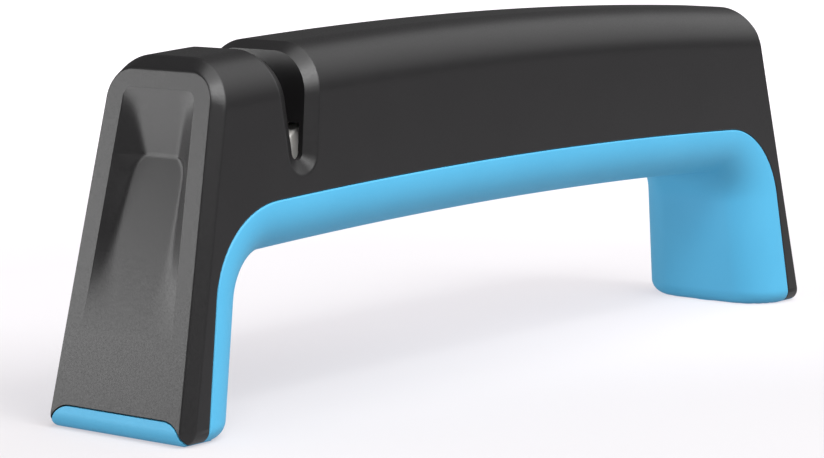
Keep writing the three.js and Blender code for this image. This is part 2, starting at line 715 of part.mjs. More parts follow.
// Wheels take every second place in the stack, so the two axles' rims pass between each
// other. A sleeve fills each place on an axle that the other axle's wheel stands in.
const places = Array.from({ length: wheelSlots }, (_, i) => (i - (wheelSlots - 1) / 2) * wheelPitch);
for (const [name, side] of [["left", -1], ["right", 1]]) {
  const axleX = slotX + side * axleReach;
  const first = side < 0 ? 1 : 0;
  addPiece(`${name}_axle`, axlePin(), steel).position.set(axleX, 0, axleZ);
  for (let i = 0; i < WHEELS_PER_AXLE; i += 1) {
    const wheelY = places[2 * i + first];
    const wheel = addPiece(`${name}_wheel_${i + 1}`, grindingWheel(), whiteCeramic);
    wheel.position.set(axleX, wheelY, axleZ);
    const last = side < 0 ? i === 0 : i === WHEELS_PER_AXLE - 1;
    const room = last ? wheelPitch + WHEEL_ROOM : 2 * wheelPitch - wheelThickness;
    const start = wheelY + side * (wheelThickness / 2);
    const sleeveY = start + side * (room / 2);
    const spacer = addPiece(`${name}_sleeve_${i + 1}`, sleeve(room - 2 * SIDE_PLAY), whiteAcetal);
    spacer.position.set(axleX, sleeveY, axleZ);
  }
}

// Screws: four hold the cradle, and one holds each foot of the liner
const cradleScrewLength = lugTop + SEAM_GAP + CRADLE_SCREW_BITE
  - (cradleBase + HEAD_SINK + CRADLE_SCREW_HEAD_HEIGHT);
cradleScrewPlaces().forEach(([x, y], i) => {
  const shape = screw(CRADLE_SCREW_SHANK, CRADLE_SCREW_HEAD, CRADLE_SCREW_HEAD_HEIGHT, cradleScrewLength);
  const z = cradleBase + HEAD_SINK + CRADLE_SCREW_HEAD_HEIGHT - SIDE_PLAY;
  addPiece(`cradle_screw_${i + 1}`, shape, steel).position.set(x, y, z);
});
for (const [name, side] of [["left", -1], ["right", 1]]) {
  const length = FOOT_SEAT + SEAM_GAP + FOOT_SCREW_BITE;
  const shape = screw(FOOT_SCREW_SHANK, FOOT_SCREW_HEAD, FOOT_SCREW_HEAD_HEIGHT, length);
  addPiece(`${name}_foot_screw`, shape, steel).position.set(side * footScrewX, 0, footSeatZ - SIDE_PLAY);
}

export default sharpener;
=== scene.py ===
import math

import bmesh
import bpy
from mathutils import Matrix, Vector


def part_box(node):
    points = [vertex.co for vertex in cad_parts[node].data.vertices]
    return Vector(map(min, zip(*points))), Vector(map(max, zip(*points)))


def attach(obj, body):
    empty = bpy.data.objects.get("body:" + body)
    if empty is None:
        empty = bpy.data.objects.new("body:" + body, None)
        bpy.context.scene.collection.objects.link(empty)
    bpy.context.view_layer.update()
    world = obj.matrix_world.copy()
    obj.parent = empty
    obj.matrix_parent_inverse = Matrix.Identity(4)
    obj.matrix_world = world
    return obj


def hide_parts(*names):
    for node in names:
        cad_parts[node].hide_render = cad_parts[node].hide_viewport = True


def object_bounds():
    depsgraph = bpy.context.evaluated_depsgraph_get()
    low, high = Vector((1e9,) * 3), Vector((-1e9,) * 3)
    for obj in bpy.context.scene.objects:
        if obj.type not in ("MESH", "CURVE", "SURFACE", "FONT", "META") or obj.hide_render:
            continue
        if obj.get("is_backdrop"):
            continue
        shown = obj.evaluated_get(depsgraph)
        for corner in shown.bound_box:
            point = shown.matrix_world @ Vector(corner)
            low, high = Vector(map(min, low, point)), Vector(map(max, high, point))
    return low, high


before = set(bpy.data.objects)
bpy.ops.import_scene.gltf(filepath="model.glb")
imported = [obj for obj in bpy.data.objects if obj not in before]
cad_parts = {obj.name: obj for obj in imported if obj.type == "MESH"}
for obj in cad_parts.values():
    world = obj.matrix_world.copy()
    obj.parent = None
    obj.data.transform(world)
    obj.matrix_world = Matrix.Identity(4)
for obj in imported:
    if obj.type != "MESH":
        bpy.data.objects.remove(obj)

cad_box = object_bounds()

# Upper housing.
# The black arched shell that the hand closes over: one moulding of glass-filled polyamide, open
# below, with leaning end faces. It is shaped in millimetres as its mould would shape it.
MM = 0.001
cad_low, cad_high = cad_box
LENGTH = 200.0
HALF_LENGTH = LENGTH / 2
WIDTH = (cad_high[1] - cad_low[1]) / MM
HEIGHT = (cad_high[2] - cad_low[2]) / MM
END_LEAN = math.radians(12.4)
SIDE_DRAFT = math.radians(3.2)
TOP_SAG = 2.6
TOP_FILLET = 9.2
END_CHAMFER_ACROSS = 1.6
END_CHAMFER_TOP = 2.2
END_CHAMFER_ALONG = 2.2
END_CORNER = 5.4
EDGE_SHARE = 0.16
FOOT_EDGE_RADIUS = 3.02
FOOT_SIDE_RADIUS = 3.0
HOUSING_WALL = 2.4
OVERCUT = 3.0
FILLET_STEPS = 20
BODY_STATIONS = 26
EDGE_STEPS = 4
ARC_STEPS = 16
POST_SIDES = 32
SAME_POINT = 1e-4


def half_width(z):
    """Half of the body's width at a height, from the draft of its sides."""
    return WIDTH / 2 - z * math.tan(SIDE_DRAFT)


def spaced(first, last, steps):
    """Values from first to last in equal steps, both ends counted."""
    return [first + (last - first) * i / steps for i in range(steps + 1)]


def both_sides(near):
    """A half outline and its mirror image, as one closed line."""
    return near + [(-y, z) for y, z in reversed(near)]


def new_object(name, data):
    """A new object in the scene."""
    made = bpy.data.objects.new(name, data)
    bpy.context.scene.collection.objects.link(made)
    return made


def skin(name, rings, capped=True):
    """A closed mesh object over rings of equally many points."""
    shape = bmesh.new()
    rows = [[shape.verts.new(point) for point in ring] for ring in rings]
    count = len(rows[0])
    for low, high in zip(rows, rows[1:]):
        for i in range(count):
            j = (i + 1) % count
            shape.faces.new((low[i], low[j], high[j], high[i]))
    if capped:
        shape.faces.new(rows[0])
        shape.faces.new(rows[-1])
    bmesh.ops.remove_doubles(shape, verts=shape.verts, dist=SAME_POINT)
    bmesh.ops.recalc_face_normals(shape, faces=shape.faces)
    mesh = bpy.data.meshes.new(name)
    shape.to_mesh(mesh)
    shape.free()
    return new_object(name, mesh)


def across(name, outline, y0, y1):
    """An outline in X and Z, carried straight across the body."""
    return skin(name, [[(x, y, z) for x, z in outline] for y in (y0, y1)])


def post(name, x, y, radius, z0, z1):
    """An upright round post or hole."""
    turns = spaced(0, 2 * math.pi, POST_SIDES)[:-1]
    ring = [(x + radius * math.cos(turn), y + radius * math.sin(turn)) for turn in turns]
    return skin(name, [[(px, py, z) for px, py in ring] for z in (z0, z1)])


def settle(piece):
    """Keeps what a piece's modifiers make of it as its own plain mesh."""
    evaluated = piece.evaluated_get(bpy.context.evaluated_depsgraph_get())
    shaped = bpy.data.meshes.new_from_object(evaluated)
    piece.modifiers.clear()
    piece.data = shaped


def work(body, operation, tools):
    """Cuts, joins or limits a body with each tool in turn, and uses the tools up."""
    for tool in tools:
        change = body.modifiers.new(tool.name, "BOOLEAN")
        change.operation = operation
        change.solver = "EXACT"
        change.object = tool
    settle(body)
    for tool in tools:
        bpy.data.objects.remove(tool)
    return body


def body_ring(u, pull, inset, drop, radius, bottom, foot_radius):
    """One closed section of the body; u runs from -1 at the slot's end to 1."""
    top = HEIGHT - TOP_SAG * u * u - drop
    fillet_z = top - radius
    centre_y = half_width(fillet_z) - inset - radius
    near = []
    for turn in spaced(0, math.pi / 2, ARC_STEPS):
        z = bottom + foot_radius * (1 - math.cos(turn))
        near.append((-(half_width(z) - inset - foot_radius * (1 - math.sin(turn))), z))
    for turn in spaced(0, math.pi / 2, FILLET_STEPS):
        near.append((-centre_y - radius * math.cos(turn), fillet_z + radius * math.sin(turn)))
    return [(u * (HALF_LENGTH - pull - z * math.tan(END_LEAN)), y, z) for y, z in both_sides(near)]


def end_steps():
    """Rounded chamfer of an end: pairs of distance from the end and share of the chamfer."""
    ease = EDGE_SHARE
    bends = [((0, 1 + ease), (0, 1), (ease, 1 - ease)), ((1 - ease, ease), (1, 0), (1 + ease, 0))]
    steps = []
    for first, middle, last in bends:
        for way in spaced(0, 1, EDGE_STEPS):
            left = 1 - way
            pair = zip(first, middle, last)
            steps.append([a * left ** 2 + 2 * b * way * left + c * way * way for a, b, c in pair])
    return [(along * END_CHAMFER_ALONG, share) for along, share in steps]


def body_form(name, inset, bottom, foot_radius=0):
    """The drafted block with a crowned, filleted top, leaning ends and end chamfers."""
    pull = inset / math.cos(END_LEAN)

    def chamfered(u, along, share):
        radius = TOP_FILLET + share * (END_CORNER - TOP_FILLET) - inset
        inward = inset + share * END_CHAMFER_ACROSS
        drop = inset + share * END_CHAMFER_TOP
        return body_ring(u, pull + along, inward, drop, radius, bottom, foot_radius)

    steps = end_steps()
    rings = [chamfered(-1, along, share) for along, share in steps]
    rings += [chamfered(u, steps[-1][0], 0) for u in spaced(-1, 1, BODY_STATIONS)[1:-1]]
    rings += [chamfered(1, along, share) for along, share in reversed(steps)]
    return skin(name, rings)


def foot_edge(side):
    """What is taken off the bottom edge of an end face to leave it round."""
    radius = FOOT_EDGE_RADIUS
    past = HALF_LENGTH + OVERCUT
    outline = [(past, radius), (past, -OVERCUT), (HALF_LENGTH - radius, -OVERCUT)]
    for turn in spaced(0, math.pi / 2, ARC_STEPS):
        z = radius * (1 - math.cos(turn))
        outline.append((HALF_LENGTH - radius * (1 - math.sin(turn)) - z * math.tan(END_LEAN), z))
    return across("foot_edge", [(side * x, z) for x, z in outline], -WIDTH, WIDTH)


def outer_form():
    """The whole outer body, before it is parted into housing and liner."""
    block = body_form("outer_form", 0, 0, FOOT_SIDE_RADIUS)
    return work(block, "DIFFERENCE", [foot_edge(-1), foot_edge(1)])


# The parting line between housing and liner: leaning legs, round corners and a crowned top.
SEAM_DROP = 25.8
SEAM_HEIGHT = HEIGHT - SEAM_DROP
LEG_STRIP = 6.0
SEAM_LEAN = math.radians(9.2)
SEAM_CORNER = 18.0
SEAM_CROWN_RADIUS = 1650.0
SEAM_GAP = 0.3
SEAM_ROUND = 0.35
SEAM_BELOW = 13.0
SEAM_OUTSIDE = 0.1
CROWN_STEPS = 30
crown_centre = SEAM_HEIGHT - SEAM_CROWN_RADIUS
seam_half_span = HALF_LENGTH - LEG_STRIP


def seam_path():
    """Points of the parting line with normals that point out of the finger gap."""
    lean = math.tan(SEAM_LEAN)
    start_x = -seam_half_span + SEAM_CORNER / math.cos(SEAM_LEAN)
    reach = SEAM_CROWN_RADIUS - SEAM_CORNER
    a = 1 + lean * lean
    b = lean * start_x - crown_centre
    c = start_x ** 2 + crown_centre ** 2 - reach ** 2
    corner_z = (-b + math.sqrt(b * b - a * c)) / a
    corner_x = start_x + corner_z * lean
    crown_turn = math.atan2(corner_z - crown_centre, corner_x)
    leg_turn = math.pi - SEAM_LEAN
    normal = (math.cos(leg_turn), math.sin(leg_turn))
    left = [((-seam_half_span - SEAM_BELOW * lean, -SEAM_BELOW), normal)]
    for turn in spaced(leg_turn, crown_turn, ARC_STEPS):
        nx, nz = math.cos(turn), math.sin(turn)
        left.append(((corner_x + SEAM_CORNER * nx, corner_z + SEAM_CORNER * nz), (nx, nz)))
    crown = []
    for turn in spaced(crown_turn, math.pi - crown_turn, CROWN_STEPS)[1:-1]:
        nx, nz = math.cos(turn), math.sin(turn)
        crown.append(((SEAM_CROWN_RADIUS * nx, crown_centre + SEAM_CROWN_RADIUS * nz), (nx, nz)))
    right = [((-x, z), (-nx, nz)) for (x, z), (nx, nz) in reversed(left)]
    return left + crown + right


def below_seam():
    """All that lies on the finger gap's side of the seam, flared to round the housing's rim."""
    levels = [(-SEAM_OUTSIDE, SEAM_ROUND)]
    for depth in spaced(0, SEAM_ROUND, EDGE_STEPS):
        levels.append((depth, SEAM_ROUND - math.sqrt(SEAM_ROUND ** 2 - (SEAM_ROUND - depth) ** 2)))

    def ring(side, depth, flare):
        line = [(x + nx * flare, z + nz * flare) for (x, z), (nx, nz) in seam_path()]
        return [(x, side * (half_width(z) - depth), z) for x, z in line]

    near = [ring(-1, depth, flare) for depth, flare in levels]
    far = [ring(1, depth, flare) for depth, flare in reversed(levels)]
    return skin("below_seam", near + far)


# The blade slot stands over the vee of the wheels, which the boxes of the axles and a wheel give.
def centre_of(node):
    """The middle of a CAD node's box, in millimetres."""
    low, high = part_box(node)
    return [(a + b) / 2 / MM for a, b in zip(low, high)]


wheel_low, wheel_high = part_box("left_wheel_1")
wheel_radius = (wheel_high[2] - wheel_low[2]) / 2 / MM
axle_z = centre_of("left_axle")[2]
axle_xs = [centre_of("left_axle")[0], centre_of("right_axle")[0]]
slot_x = sum(axle_xs) / 2
axle_reach = axle_xs[1] - slot_x
SLOT_FOOT_RADIUS = 1.4
SLOT_TAPER = math.radians(7.6)
SLOT_FOOT_DROP = 0.2
FUNNEL_SPREAD = 2.5
FUNNEL_DEPTH = 1.4
FUNNEL_ROUND = 1.2
FUNNEL_INNER = 0.25
FUNNEL_PAST = 1.5
FUNNEL_LAST_SHARE = 0.3
SLOT_WALL = 2.0
vee_z = axle_z + math.sqrt(wheel_radius ** 2 - axle_reach ** 2)
slot_round_z = vee_z - SLOT_FOOT_DROP + SLOT_FOOT_RADIUS
slot_share = slot_x / (HALF_LENGTH - END_CHAMFER_ALONG - (HEIGHT - TOP_SAG) * math.tan(END_LEAN))
slot_top = HEIGHT - TOP_SAG * slot_share ** 2
slot_slope = -2 * TOP_SAG * slot_share ** 2 / slot_x


def slot_half(z):
    """Half of the slot's own width, above its round foot."""
    return SLOT_FOOT_RADIUS / math.cos(SLOT_TAPER) + (z - slot_round_z) * math.tan(SLOT_TAPER)


def slot_through():
    """The tapered slot, right through the body."""
    outline = []
    for turn in spaced(math.pi + SLOT_TAPER, 2 * math.pi - SLOT_TAPER, ARC_STEPS):
        outline.append((slot_x + SLOT_FOOT_RADIUS * math.cos(turn),
                        slot_round_z + SLOT_FOOT_RADIUS * math.sin(turn)))
    top = HEIGHT + OVERCUT
    outline += [(slot_x + slot_half(top), top), (slot_x - slot_half(top), top)]
    return across("slot_through", outline, -WIDTH, WIDTH)


def funnel_levels():
    """The funnel's slope from deep to past the surface, as pairs of spread and lift."""
    slope = math.atan2(FUNNEL_DEPTH, FUNNEL_SPREAD)
    last_slope = slope * FUNNEL_LAST_SHARE
    levels = [(-FUNNEL_INNER, -FUNNEL_DEPTH - FUNNEL_INNER * math.tan(slope))]
    centre = FUNNEL_SPREAD + FUNNEL_ROUND * math.tan(slope / 2)
    for turn in spaced(slope, last_slope, EDGE_STEPS):
        levels.append((centre - FUNNEL_ROUND * math.sin(turn), FUNNEL_ROUND * (math.cos(turn) - 1)))
    spread, lift = levels[-1]
    return levels + [(spread + FUNNEL_PAST, lift + FUNNEL_PAST * math.tan(last_slope))]


def funnel():
    """The flared rim, swept from the slot's foot on one side over the top to the other."""
    levels = funnel_levels()
    fillet_z = slot_top - TOP_FILLET
    centre_y = half_width(fillet_z) - TOP_FILLET
    side_normal = (-math.cos(SIDE_DRAFT), math.sin(SIDE_DRAFT))
    rings = []
    for turn in spaced(math.pi / 2, SLOT_TAPER, ARC_STEPS):
        ring = []
        for spread, lift in levels:
            radius = SLOT_FOOT_RADIUS + spread
            z = slot_round_z - radius * math.sin(turn)
            ring.append((radius * math.cos(turn), -half_width(z) + side_normal[0] * lift, z))
        rings.append(ring)
    stations = []
    for z in spaced(slot_round_z, fillet_z, EDGE_STEPS)[:-1]:
        stations.append((-half_width(z), z, *side_normal))
    for turn in spaced(0, math.pi / 2, FILLET_STEPS):
        ny, nz = -math.cos(turn), math.sin(turn)
        stations.append((-centre_y + TOP_FILLET * ny, fillet_z + TOP_FILLET * nz, ny, nz))
    for y, z, ny, nz in stations:
        ring = []
        for spread, lift in levels:
            level_z = z + nz * lift
            ring.append((slot_half(level_z) + spread / math.cos(SLOT_TAPER), y + ny * lift, level_z))
        rings.append(ring)
    rings += [[(half, -y, z) for half, y, z in ring] for ring in reversed(rings)]
    closed = []
    for ring in rings:
        sides = []
        for side, order in ((-1, ring), (1, ring[::-1])):
            for half, y, z in order:
                rise = min(1, max(0, (z - slot_round_z) / (fillet_z - slot_round_z)))
                sides.append((slot_x + side * half, y, z + rise * slot_slope * side * half))
        closed.append(sides)
    return skin("funnel", closed, capped=False)


# The thumb scoop in the left end face: a ramp, sloping side walls and a long floor that runs out
# into the face again. Its lines of points follow its own rim, so that its edges stay clean.
SCOOP_TOP = 5.5
SCOOP_FOOT = 16.9
SCOOP_END = 46.6
SCOOP_DEPTH = 2.9
SCOOP_FRAME = 5.4
SCOOP_CORNER = 1.7
SCOOP_RAMP_HALF = 6.4
SCOOP_FOOT_HALF = 3.8
SCOOP_WALL = 2.9
SCOOP_FLOOR_SPREAD = 1.2
SCOOP_FADE = 1.3
SCOOP_CREASE = 0.2
SCOOP_BLEND = 0.4
SCOOP_BACKING = 1.8
SCOOP_MARGIN = 1.2
SCOOP_SLOPE_OUT = 0.8
SCOOP_LIFT = 0.02
SCOOP_LAST_SHARE = 0.985
SCOOP_ROWS = 12
SCOOP_COLUMNS = 8
scoop_top_z = HEIGHT - TOP_SAG - SCOOP_TOP
ramp_length = SCOOP_FOOT - SCOOP_TOP
floor_length = SCOOP_END - SCOOP_FOOT


def soft_least(a, b, blend):
    """The lesser of two depths, rounded where they meet."""
    near = max(blend - abs(a - b), 0) / blend
    return min(a, b) - near * near * blend / 4


def scoop_section(down):
    """Half widths of the scoop's rim and floor, and its depth, so far below its top edge."""
    corner = min(max(SCOOP_CORNER - down, 0), SCOOP_CORNER)
    side = half_width(scoop_top_z - down) - SCOOP_FRAME
    rim = side - SCOOP_CORNER + math.sqrt(SCOOP_CORNER ** 2 - corner ** 2)
    past = down - ramp_length
    if past < 0:
        foot = SCOOP_FOOT_HALF - (SCOOP_RAMP_HALF - SCOOP_FOOT_HALF) * past / ramp_length
        floor = SCOOP_DEPTH * (1 - SCOOP_FADE * past / floor_length)
    else:
        spread = 1 - math.exp(-past / SCOOP_FLOOR_SPREAD)
        foot = SCOOP_FOOT_HALF + (side - SCOOP_WALL - SCOOP_FOOT_HALF) * spread
        floor = SCOOP_DEPTH * (1 - past / floor_length) ** SCOOP_FADE
    deep = soft_least(SCOOP_DEPTH * down / ramp_length, floor, SCOOP_CREASE)
    return rim, min(foot, rim - SCOOP_BLEND), deep


def scoop_downs():
    """How far down the rows of points lie, closer together where the scoop bends."""
    crease = 3 * SCOOP_CREASE
    stops = [0, SCOOP_CORNER, ramp_length - crease, ramp_length + crease,
             ramp_length + 4 * SCOOP_FLOOR_SPREAD, ramp_length + SCOOP_LAST_SHARE * floor_length]
    downs = []
    for first, last in zip(stops, stops[1:]):
        for i in range(SCOOP_ROWS):
            way = i / SCOOP_ROWS
            downs.append(first + (last - first) * (way * way if first == 0 else way))
    return downs + [stops[-1]]


def scoop(deeper):
    """The scoop as a cutter, or made deeper as the boss behind it."""
    rings = []
    downs = scoop_downs()
    above = (-SCOOP_MARGIN, -SCOOP_MARGIN * SCOOP_SLOPE_OUT)
    below = (downs[-1] + SCOOP_MARGIN, -3 * SCOOP_LIFT)
    for down, sink in [above] + [(down, 0) for down in downs] + [below]:
        rim, foot, deep = scoop_section(min(max(down, 0), downs[-1]))
        steep = SCOOP_SLOPE_OUT * min(1, deep + 3 * SCOOP_LIFT)
        half = [(rim + SCOOP_MARGIN, -SCOOP_MARGIN * steep)]
        for i in range(2 * SCOOP_COLUMNS + 1):
            y = rim + (max(2 * foot - rim, foot / 2) - rim) * i / (2 * SCOOP_COLUMNS)
            wall = deep * (rim - y) / (rim - foot)
            half.append((y, soft_least(deep, wall, min(SCOOP_BLEND, deep)) if 0 < i and deep > 0 else 0))
        row = both_sides([(-y - deeper, depth) for y, depth in half])
        z = scoop_top_z - down
        face_x = -HALF_LENGTH + z * math.tan(END_LEAN)
        lowered = sink + deeper + SCOOP_LIFT
        floor = [(face_x + (depth + lowered) / math.cos(END_LEAN), y, z) for y, depth in row]
        edge = row[-1][0]
        rings.append(floor + [(face_x - OVERCUT, y, z) for y in (edge, -edge)])
    return skin("scoop", rings)


# Inside the shell: the slot's own walls, cross ribs, and the bosses that the screws bite into.
FOOT_HEIGHT = 4.1
CHEEK_TIP = 1.65
WHEEL_ROOM = 0.5
BOSS_RADIUS = 2.6
LUG_HEIGHT = 5.1
PILOT_RADIUS = 1.3
PILOT_DEPTH = 4.3
RIB_THICKNESS = 1.6
RIB_PITCH = 38.0
RIB_COUNT = 3
FOOT_BOSS_RADIUS = 3.2
FOOT_BOSS_TOP = 26.0
FOOT_BOSS_FOOT = 5.7
FOOT_PILOT_RADIUS = 1.8
FOOT_PILOT_TOP = 17.0
cradle_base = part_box("wheel_cradle")[0][2] / MM
cradle_screw_places = [centre_of(f"cradle_screw_{i}")[:2] for i in (1, 2, 3, 4)]
foot_screw_x = centre_of("right_foot_screw")[0]
wheel_top = axle_z + wheel_radius


def foot_plate(side, grow):
    """The bottom of a leg, with its upper corners rounded into the black cheeks."""
    half = WIDTH / 2 - CHEEK_TIP - FOOT_HEIGHT
    radius = FOOT_HEIGHT + grow
    near = [(-half - radius, -OVERCUT)]
    for turn in spaced(0, math.pi / 2, ARC_STEPS):
        near.append((-half - radius * math.cos(turn), radius * math.sin(turn)))
    reach = (seam_half_span - HOUSING_WALL, HALF_LENGTH + OVERCUT)
    return skin("foot_plate", [[(side * x, y, z) for y, z in both_sides(near)] for x in reach])


def housing_inside():
    """Walls, ribs and bosses, joined and kept within the shell's walls."""
    top = HEIGHT + OVERCUT
    walls = [(slot_half(z) + SLOT_WALL, z) for z in (wheel_top + WHEEL_ROOM, top)]
    outline = [(slot_x + half, z) for half, z in both_sides(walls)]
    inside = across("slot_walls", outline, -WIDTH, WIDTH)
    parts = [scoop(SCOOP_BACKING)]
    boss_foot = cradle_base + LUG_HEIGHT + SEAM_GAP
    for x, y in cradle_screw_places:
        parts.append(post("boss", x, y, BOSS_RADIUS, boss_foot, HEIGHT))
    rib_places = [(cradle_screw_places[2][0], wheel_top)]
    rib_foot = SEAM_HEIGHT + OVERCUT
    for i in range(RIB_COUNT):
        rib_places.append(((i - (RIB_COUNT - 1) / 2) * RIB_PITCH + RIB_PITCH / 2, rib_foot))
    for x, foot in rib_places:
        sides = (x - RIB_THICKNESS / 2, x + RIB_THICKNESS / 2)
        outline = [(sides[0], foot), (sides[1], foot), (sides[1], top), (sides[0], top)]
        parts.append(across("rib", outline, -WIDTH, WIDTH))
    for x in (-foot_screw_x, foot_screw_x):
        parts.append(post("foot_boss", x, 0, FOOT_BOSS_RADIUS, FOOT_BOSS_FOOT, FOOT_BOSS_TOP))
    work(inside, "UNION", parts)
    return work(inside, "INTERSECT", [body_form("within_wall", HOUSING_WALL / 2, -OVERCUT)])


hollow_form = body_form("hollow", HOUSING_WALL, -OVERCUT)
housing = work(outer_form(), "DIFFERENCE", [hollow_form, below_seam()])
work(housing, "UNION", [housing_inside()])
housing_cuts = [slot_through(), funnel(), scoop(0)]
pilot_foot = cradle_base + LUG_HEIGHT
for screw_x, screw_y in cradle_screw_places:
    pilot = post("pilot", screw_x, screw_y, PILOT_RADIUS, pilot_foot - OVERCUT, pilot_foot + PILOT_DEPTH)
    housing_cuts.append(pilot)
for side in (-1, 1):
    pilot = post("pilot", side * foot_screw_x, 0, FOOT_PILOT_RADIUS, -OVERCUT, FOOT_PILOT_TOP)
    housing_cuts += [pilot, foot_plate(side, SEAM_GAP)]
work(housing, "DIFFERENCE", housing_cuts)
housing.name = "black_shell"


def linear(colour):
    """An sRGB hex colour as linear red, green, blue and full alpha."""
    parts = [int(colour[i:i + 2], 16) / 255 for i in (1, 3, 5)]
    return [c / 12.92 if c <= 0.04045 else ((c + 0.055) / 1.055) ** 2.4 for c in parts] + [1]


def add_node(tree, kind, inputs=None, **settings):
    """Adds a node; inputs gives sockets a value, an output or a node, for its first output."""
    node = tree.nodes.new(kind)
    for name, value in settings.items():
        setattr(node, name, value)
    for name, value in (inputs or {}).items():
        if isinstance(value, bpy.types.Node):
            value = value.outputs[0]
        if isinstance(value, bpy.types.NodeSocket):
            tree.links.new(value, node.inputs[name])
        else:
            node.inputs[name].default_value = value
    return node


# Sockets of a colour Mix node, whose names are shared with its other kinds.
MIX_FIRST = 6
MIX_SECOND = 7
MIX_COLOUR = 2


def new_material(name):
    """A material with an empty tree, the tree, and the piece's own coordinates in it."""
    material = bpy.data.materials.new(name)
    material.use_nodes = True
    tree = material.node_tree
    tree.nodes.clear()
    return material, tree, add_node(tree, "ShaderNodeTexCoord").outputs["Object"]


def per_mm(size):
    """Texture scale for a pattern of this size in millimetres."""
    return 1 / (size * MM)


# Glass-filled polyamide, moulded against a spark-eroded tool: near black and satin, with a fine
# even grain and barely lighter clouds. The grain is drawn coarser than life so that it shows.
POLYAMIDE_GRAIN = 0.35
POLYAMIDE_CLOUD = 9.0
polyamide, nodes, place = new_material("moulded_glass_filled_polyamide")
cloud = add_node(nodes, "ShaderNodeTexNoise", {
    "Vector": place, "Scale": per_mm(POLYAMIDE_CLOUD), "Detail": 2})
grain = add_node(nodes, "ShaderNodeTexNoise", {
    "Vector": place, "Scale": per_mm(POLYAMIDE_GRAIN), "Detail": 3})
colour = add_node(nodes, "ShaderNodeMix", {
    0: cloud, MIX_FIRST: linear("#131213"), MIX_SECOND: linear("#181718")}, data_type="RGBA")
rough = add_node(nodes, "ShaderNodeMapRange", {
    "Value": grain, "From Min": 0.3, "From Max": 0.7, "To Min": 0.34, "To Max": 0.44})
bump = add_node(nodes, "ShaderNodeBump", {"Height": grain, "Strength": 0.12, "Distance": 0.05 * MM})
shader = add_node(nodes, "ShaderNodeBsdfPrincipled", {
    "Base Color": colour.outputs[MIX_COLOUR], "Roughness": rough, "IOR": 1.53,
    "Specular IOR Level": 0.42, "Normal": bump})
add_node(nodes, "ShaderNodeOutputMaterial", {"Surface": shader})

# Points that the cuts leave this close together are one, and bends sharper than the angle stay edges.
WELD = 0.0008
SHARP_ANGLE = math.radians(28)


def fit_piece(piece, material, body, replaced):
    """Welds a finished piece, brings it to metres, shades it and ties it to the frame."""
    mesh = piece.data
    welded = bmesh.new()
    welded.from_mesh(mesh)
    bmesh.ops.remove_doubles(welded, verts=welded.verts, dist=WELD)
    bmesh.ops.dissolve_degenerate(welded, edges=welded.edges, dist=WELD / 2)
    bare = [edge for edge in welded.edges if not edge.link_faces]
    bmesh.ops.delete(welded, geom=bare, context="EDGES")
    welded.to_mesh(mesh)
    welded.free()
    mesh.transform(Matrix.Scale(MM, 4))
    mesh.materials.clear()
    mesh.materials.append(material)
    mesh.shade_smooth()
    mesh.set_sharp_from_angle(angle=SHARP_ANGLE)
    shading = piece.modifiers.new("even_shading", "WEIGHTED_NORMAL")
    shading.keep_sharp = True
    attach(piece, body)
    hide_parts(*replaced)


fit_piece(housing, polyamide, "root", ["upper_housing"])

# Grinding wheels.
# Six white alumina discs, pressed and fired, three to an axle and set so that the two rows of
# rims cross under the slot. Each has a ground bore, lightly broken edges and turns by itself.


def new_tree(name, inputs):
    """A geometry tree with named inputs and one geometry output."""
    tree = bpy.data.node_groups.new(name, "GeometryNodeTree")
    tree.interface.new_socket("Geometry", in_out="OUTPUT", socket_type="NodeSocketGeometry")
    for label, kind in inputs.items():
        tree.interface.new_socket(label, in_out="INPUT", socket_type=f"NodeSocket{kind}")
    return tree


def from_tree(name, tree, values, start=None):
    """Runs a tree with these inputs and keeps its result as a plain mesh object."""
    made = new_object(name, start or bpy.data.meshes.new(name))
    maker = made.modifiers.new("maker", "NODES")
    maker.node_group = tree
    for item in tree.interface.items_tree:
        if item.in_out == "INPUT" and item.name in values:
            maker[item.identifier] = values[item.name]
    settle(made)
    return made


# A turned ring or pin about Y: a rounded rectangle swept round a circle, then set in its place.
TURNED_SIDES = 96
turned = new_tree("turned_piece", {
    "Radius": "Float", "Bore": "Float", "Length": "Float", "Edge": "Float", "Place": "Vector",
    "Material": "Material"})
given = add_node(turned, "NodeGroupInput").outputs
depth = add_node(turned, "ShaderNodeMath", {0: given["Radius"], 1: given["Bore"]}, operation="SUBTRACT")
total = add_node(turned, "ShaderNodeMath", {0: given["Radius"], 1: given["Bore"]}, operation="ADD")
middle = add_node(turned, "ShaderNodeMath", {0: total, 1: 0.5}, operation="MULTIPLY")
round_path = add_node(turned, "GeometryNodeCurvePrimitiveCircle", {
    "Resolution": TURNED_SIDES, "Radius": middle})
upright = add_node(turned, "GeometryNodeSetCurveNormal", {
    "Curve": round_path, "Normal": (0, 0, 1)}, mode="FREE")
section = add_node(turned, "GeometryNodeCurvePrimitiveQuadrilateral", {
    "Width": given["Length"], "Height": depth})
eased = add_node(turned, "GeometryNodeFilletCurve", {
    "Curve": section, "Radius": given["Edge"], "Limit Radius": True,
    "Count": EDGE_STEPS}, mode="POLY")
swept = add_node(turned, "GeometryNodeCurveToMesh", {"Curve": upright, "Profile Curve": eased})
closed = add_node(turned, "GeometryNodeMergeByDistance", {"Geometry": swept, "Distance": SAME_POINT})
laid = add_node(turned, "GeometryNodeTransform", {
    "Geometry": closed, "Translation": given["Place"], "Rotation": (math.pi / 2, 0, 0)})
real = add_node(turned, "GeometryNodeRealizeInstances", {"Geometry": laid})
dressed = add_node(turned, "GeometryNodeSetMaterial", {"Geometry": real, "Material": given["Material"]})
add_node(turned, "NodeGroupOutput", {"Geometry": dressed})

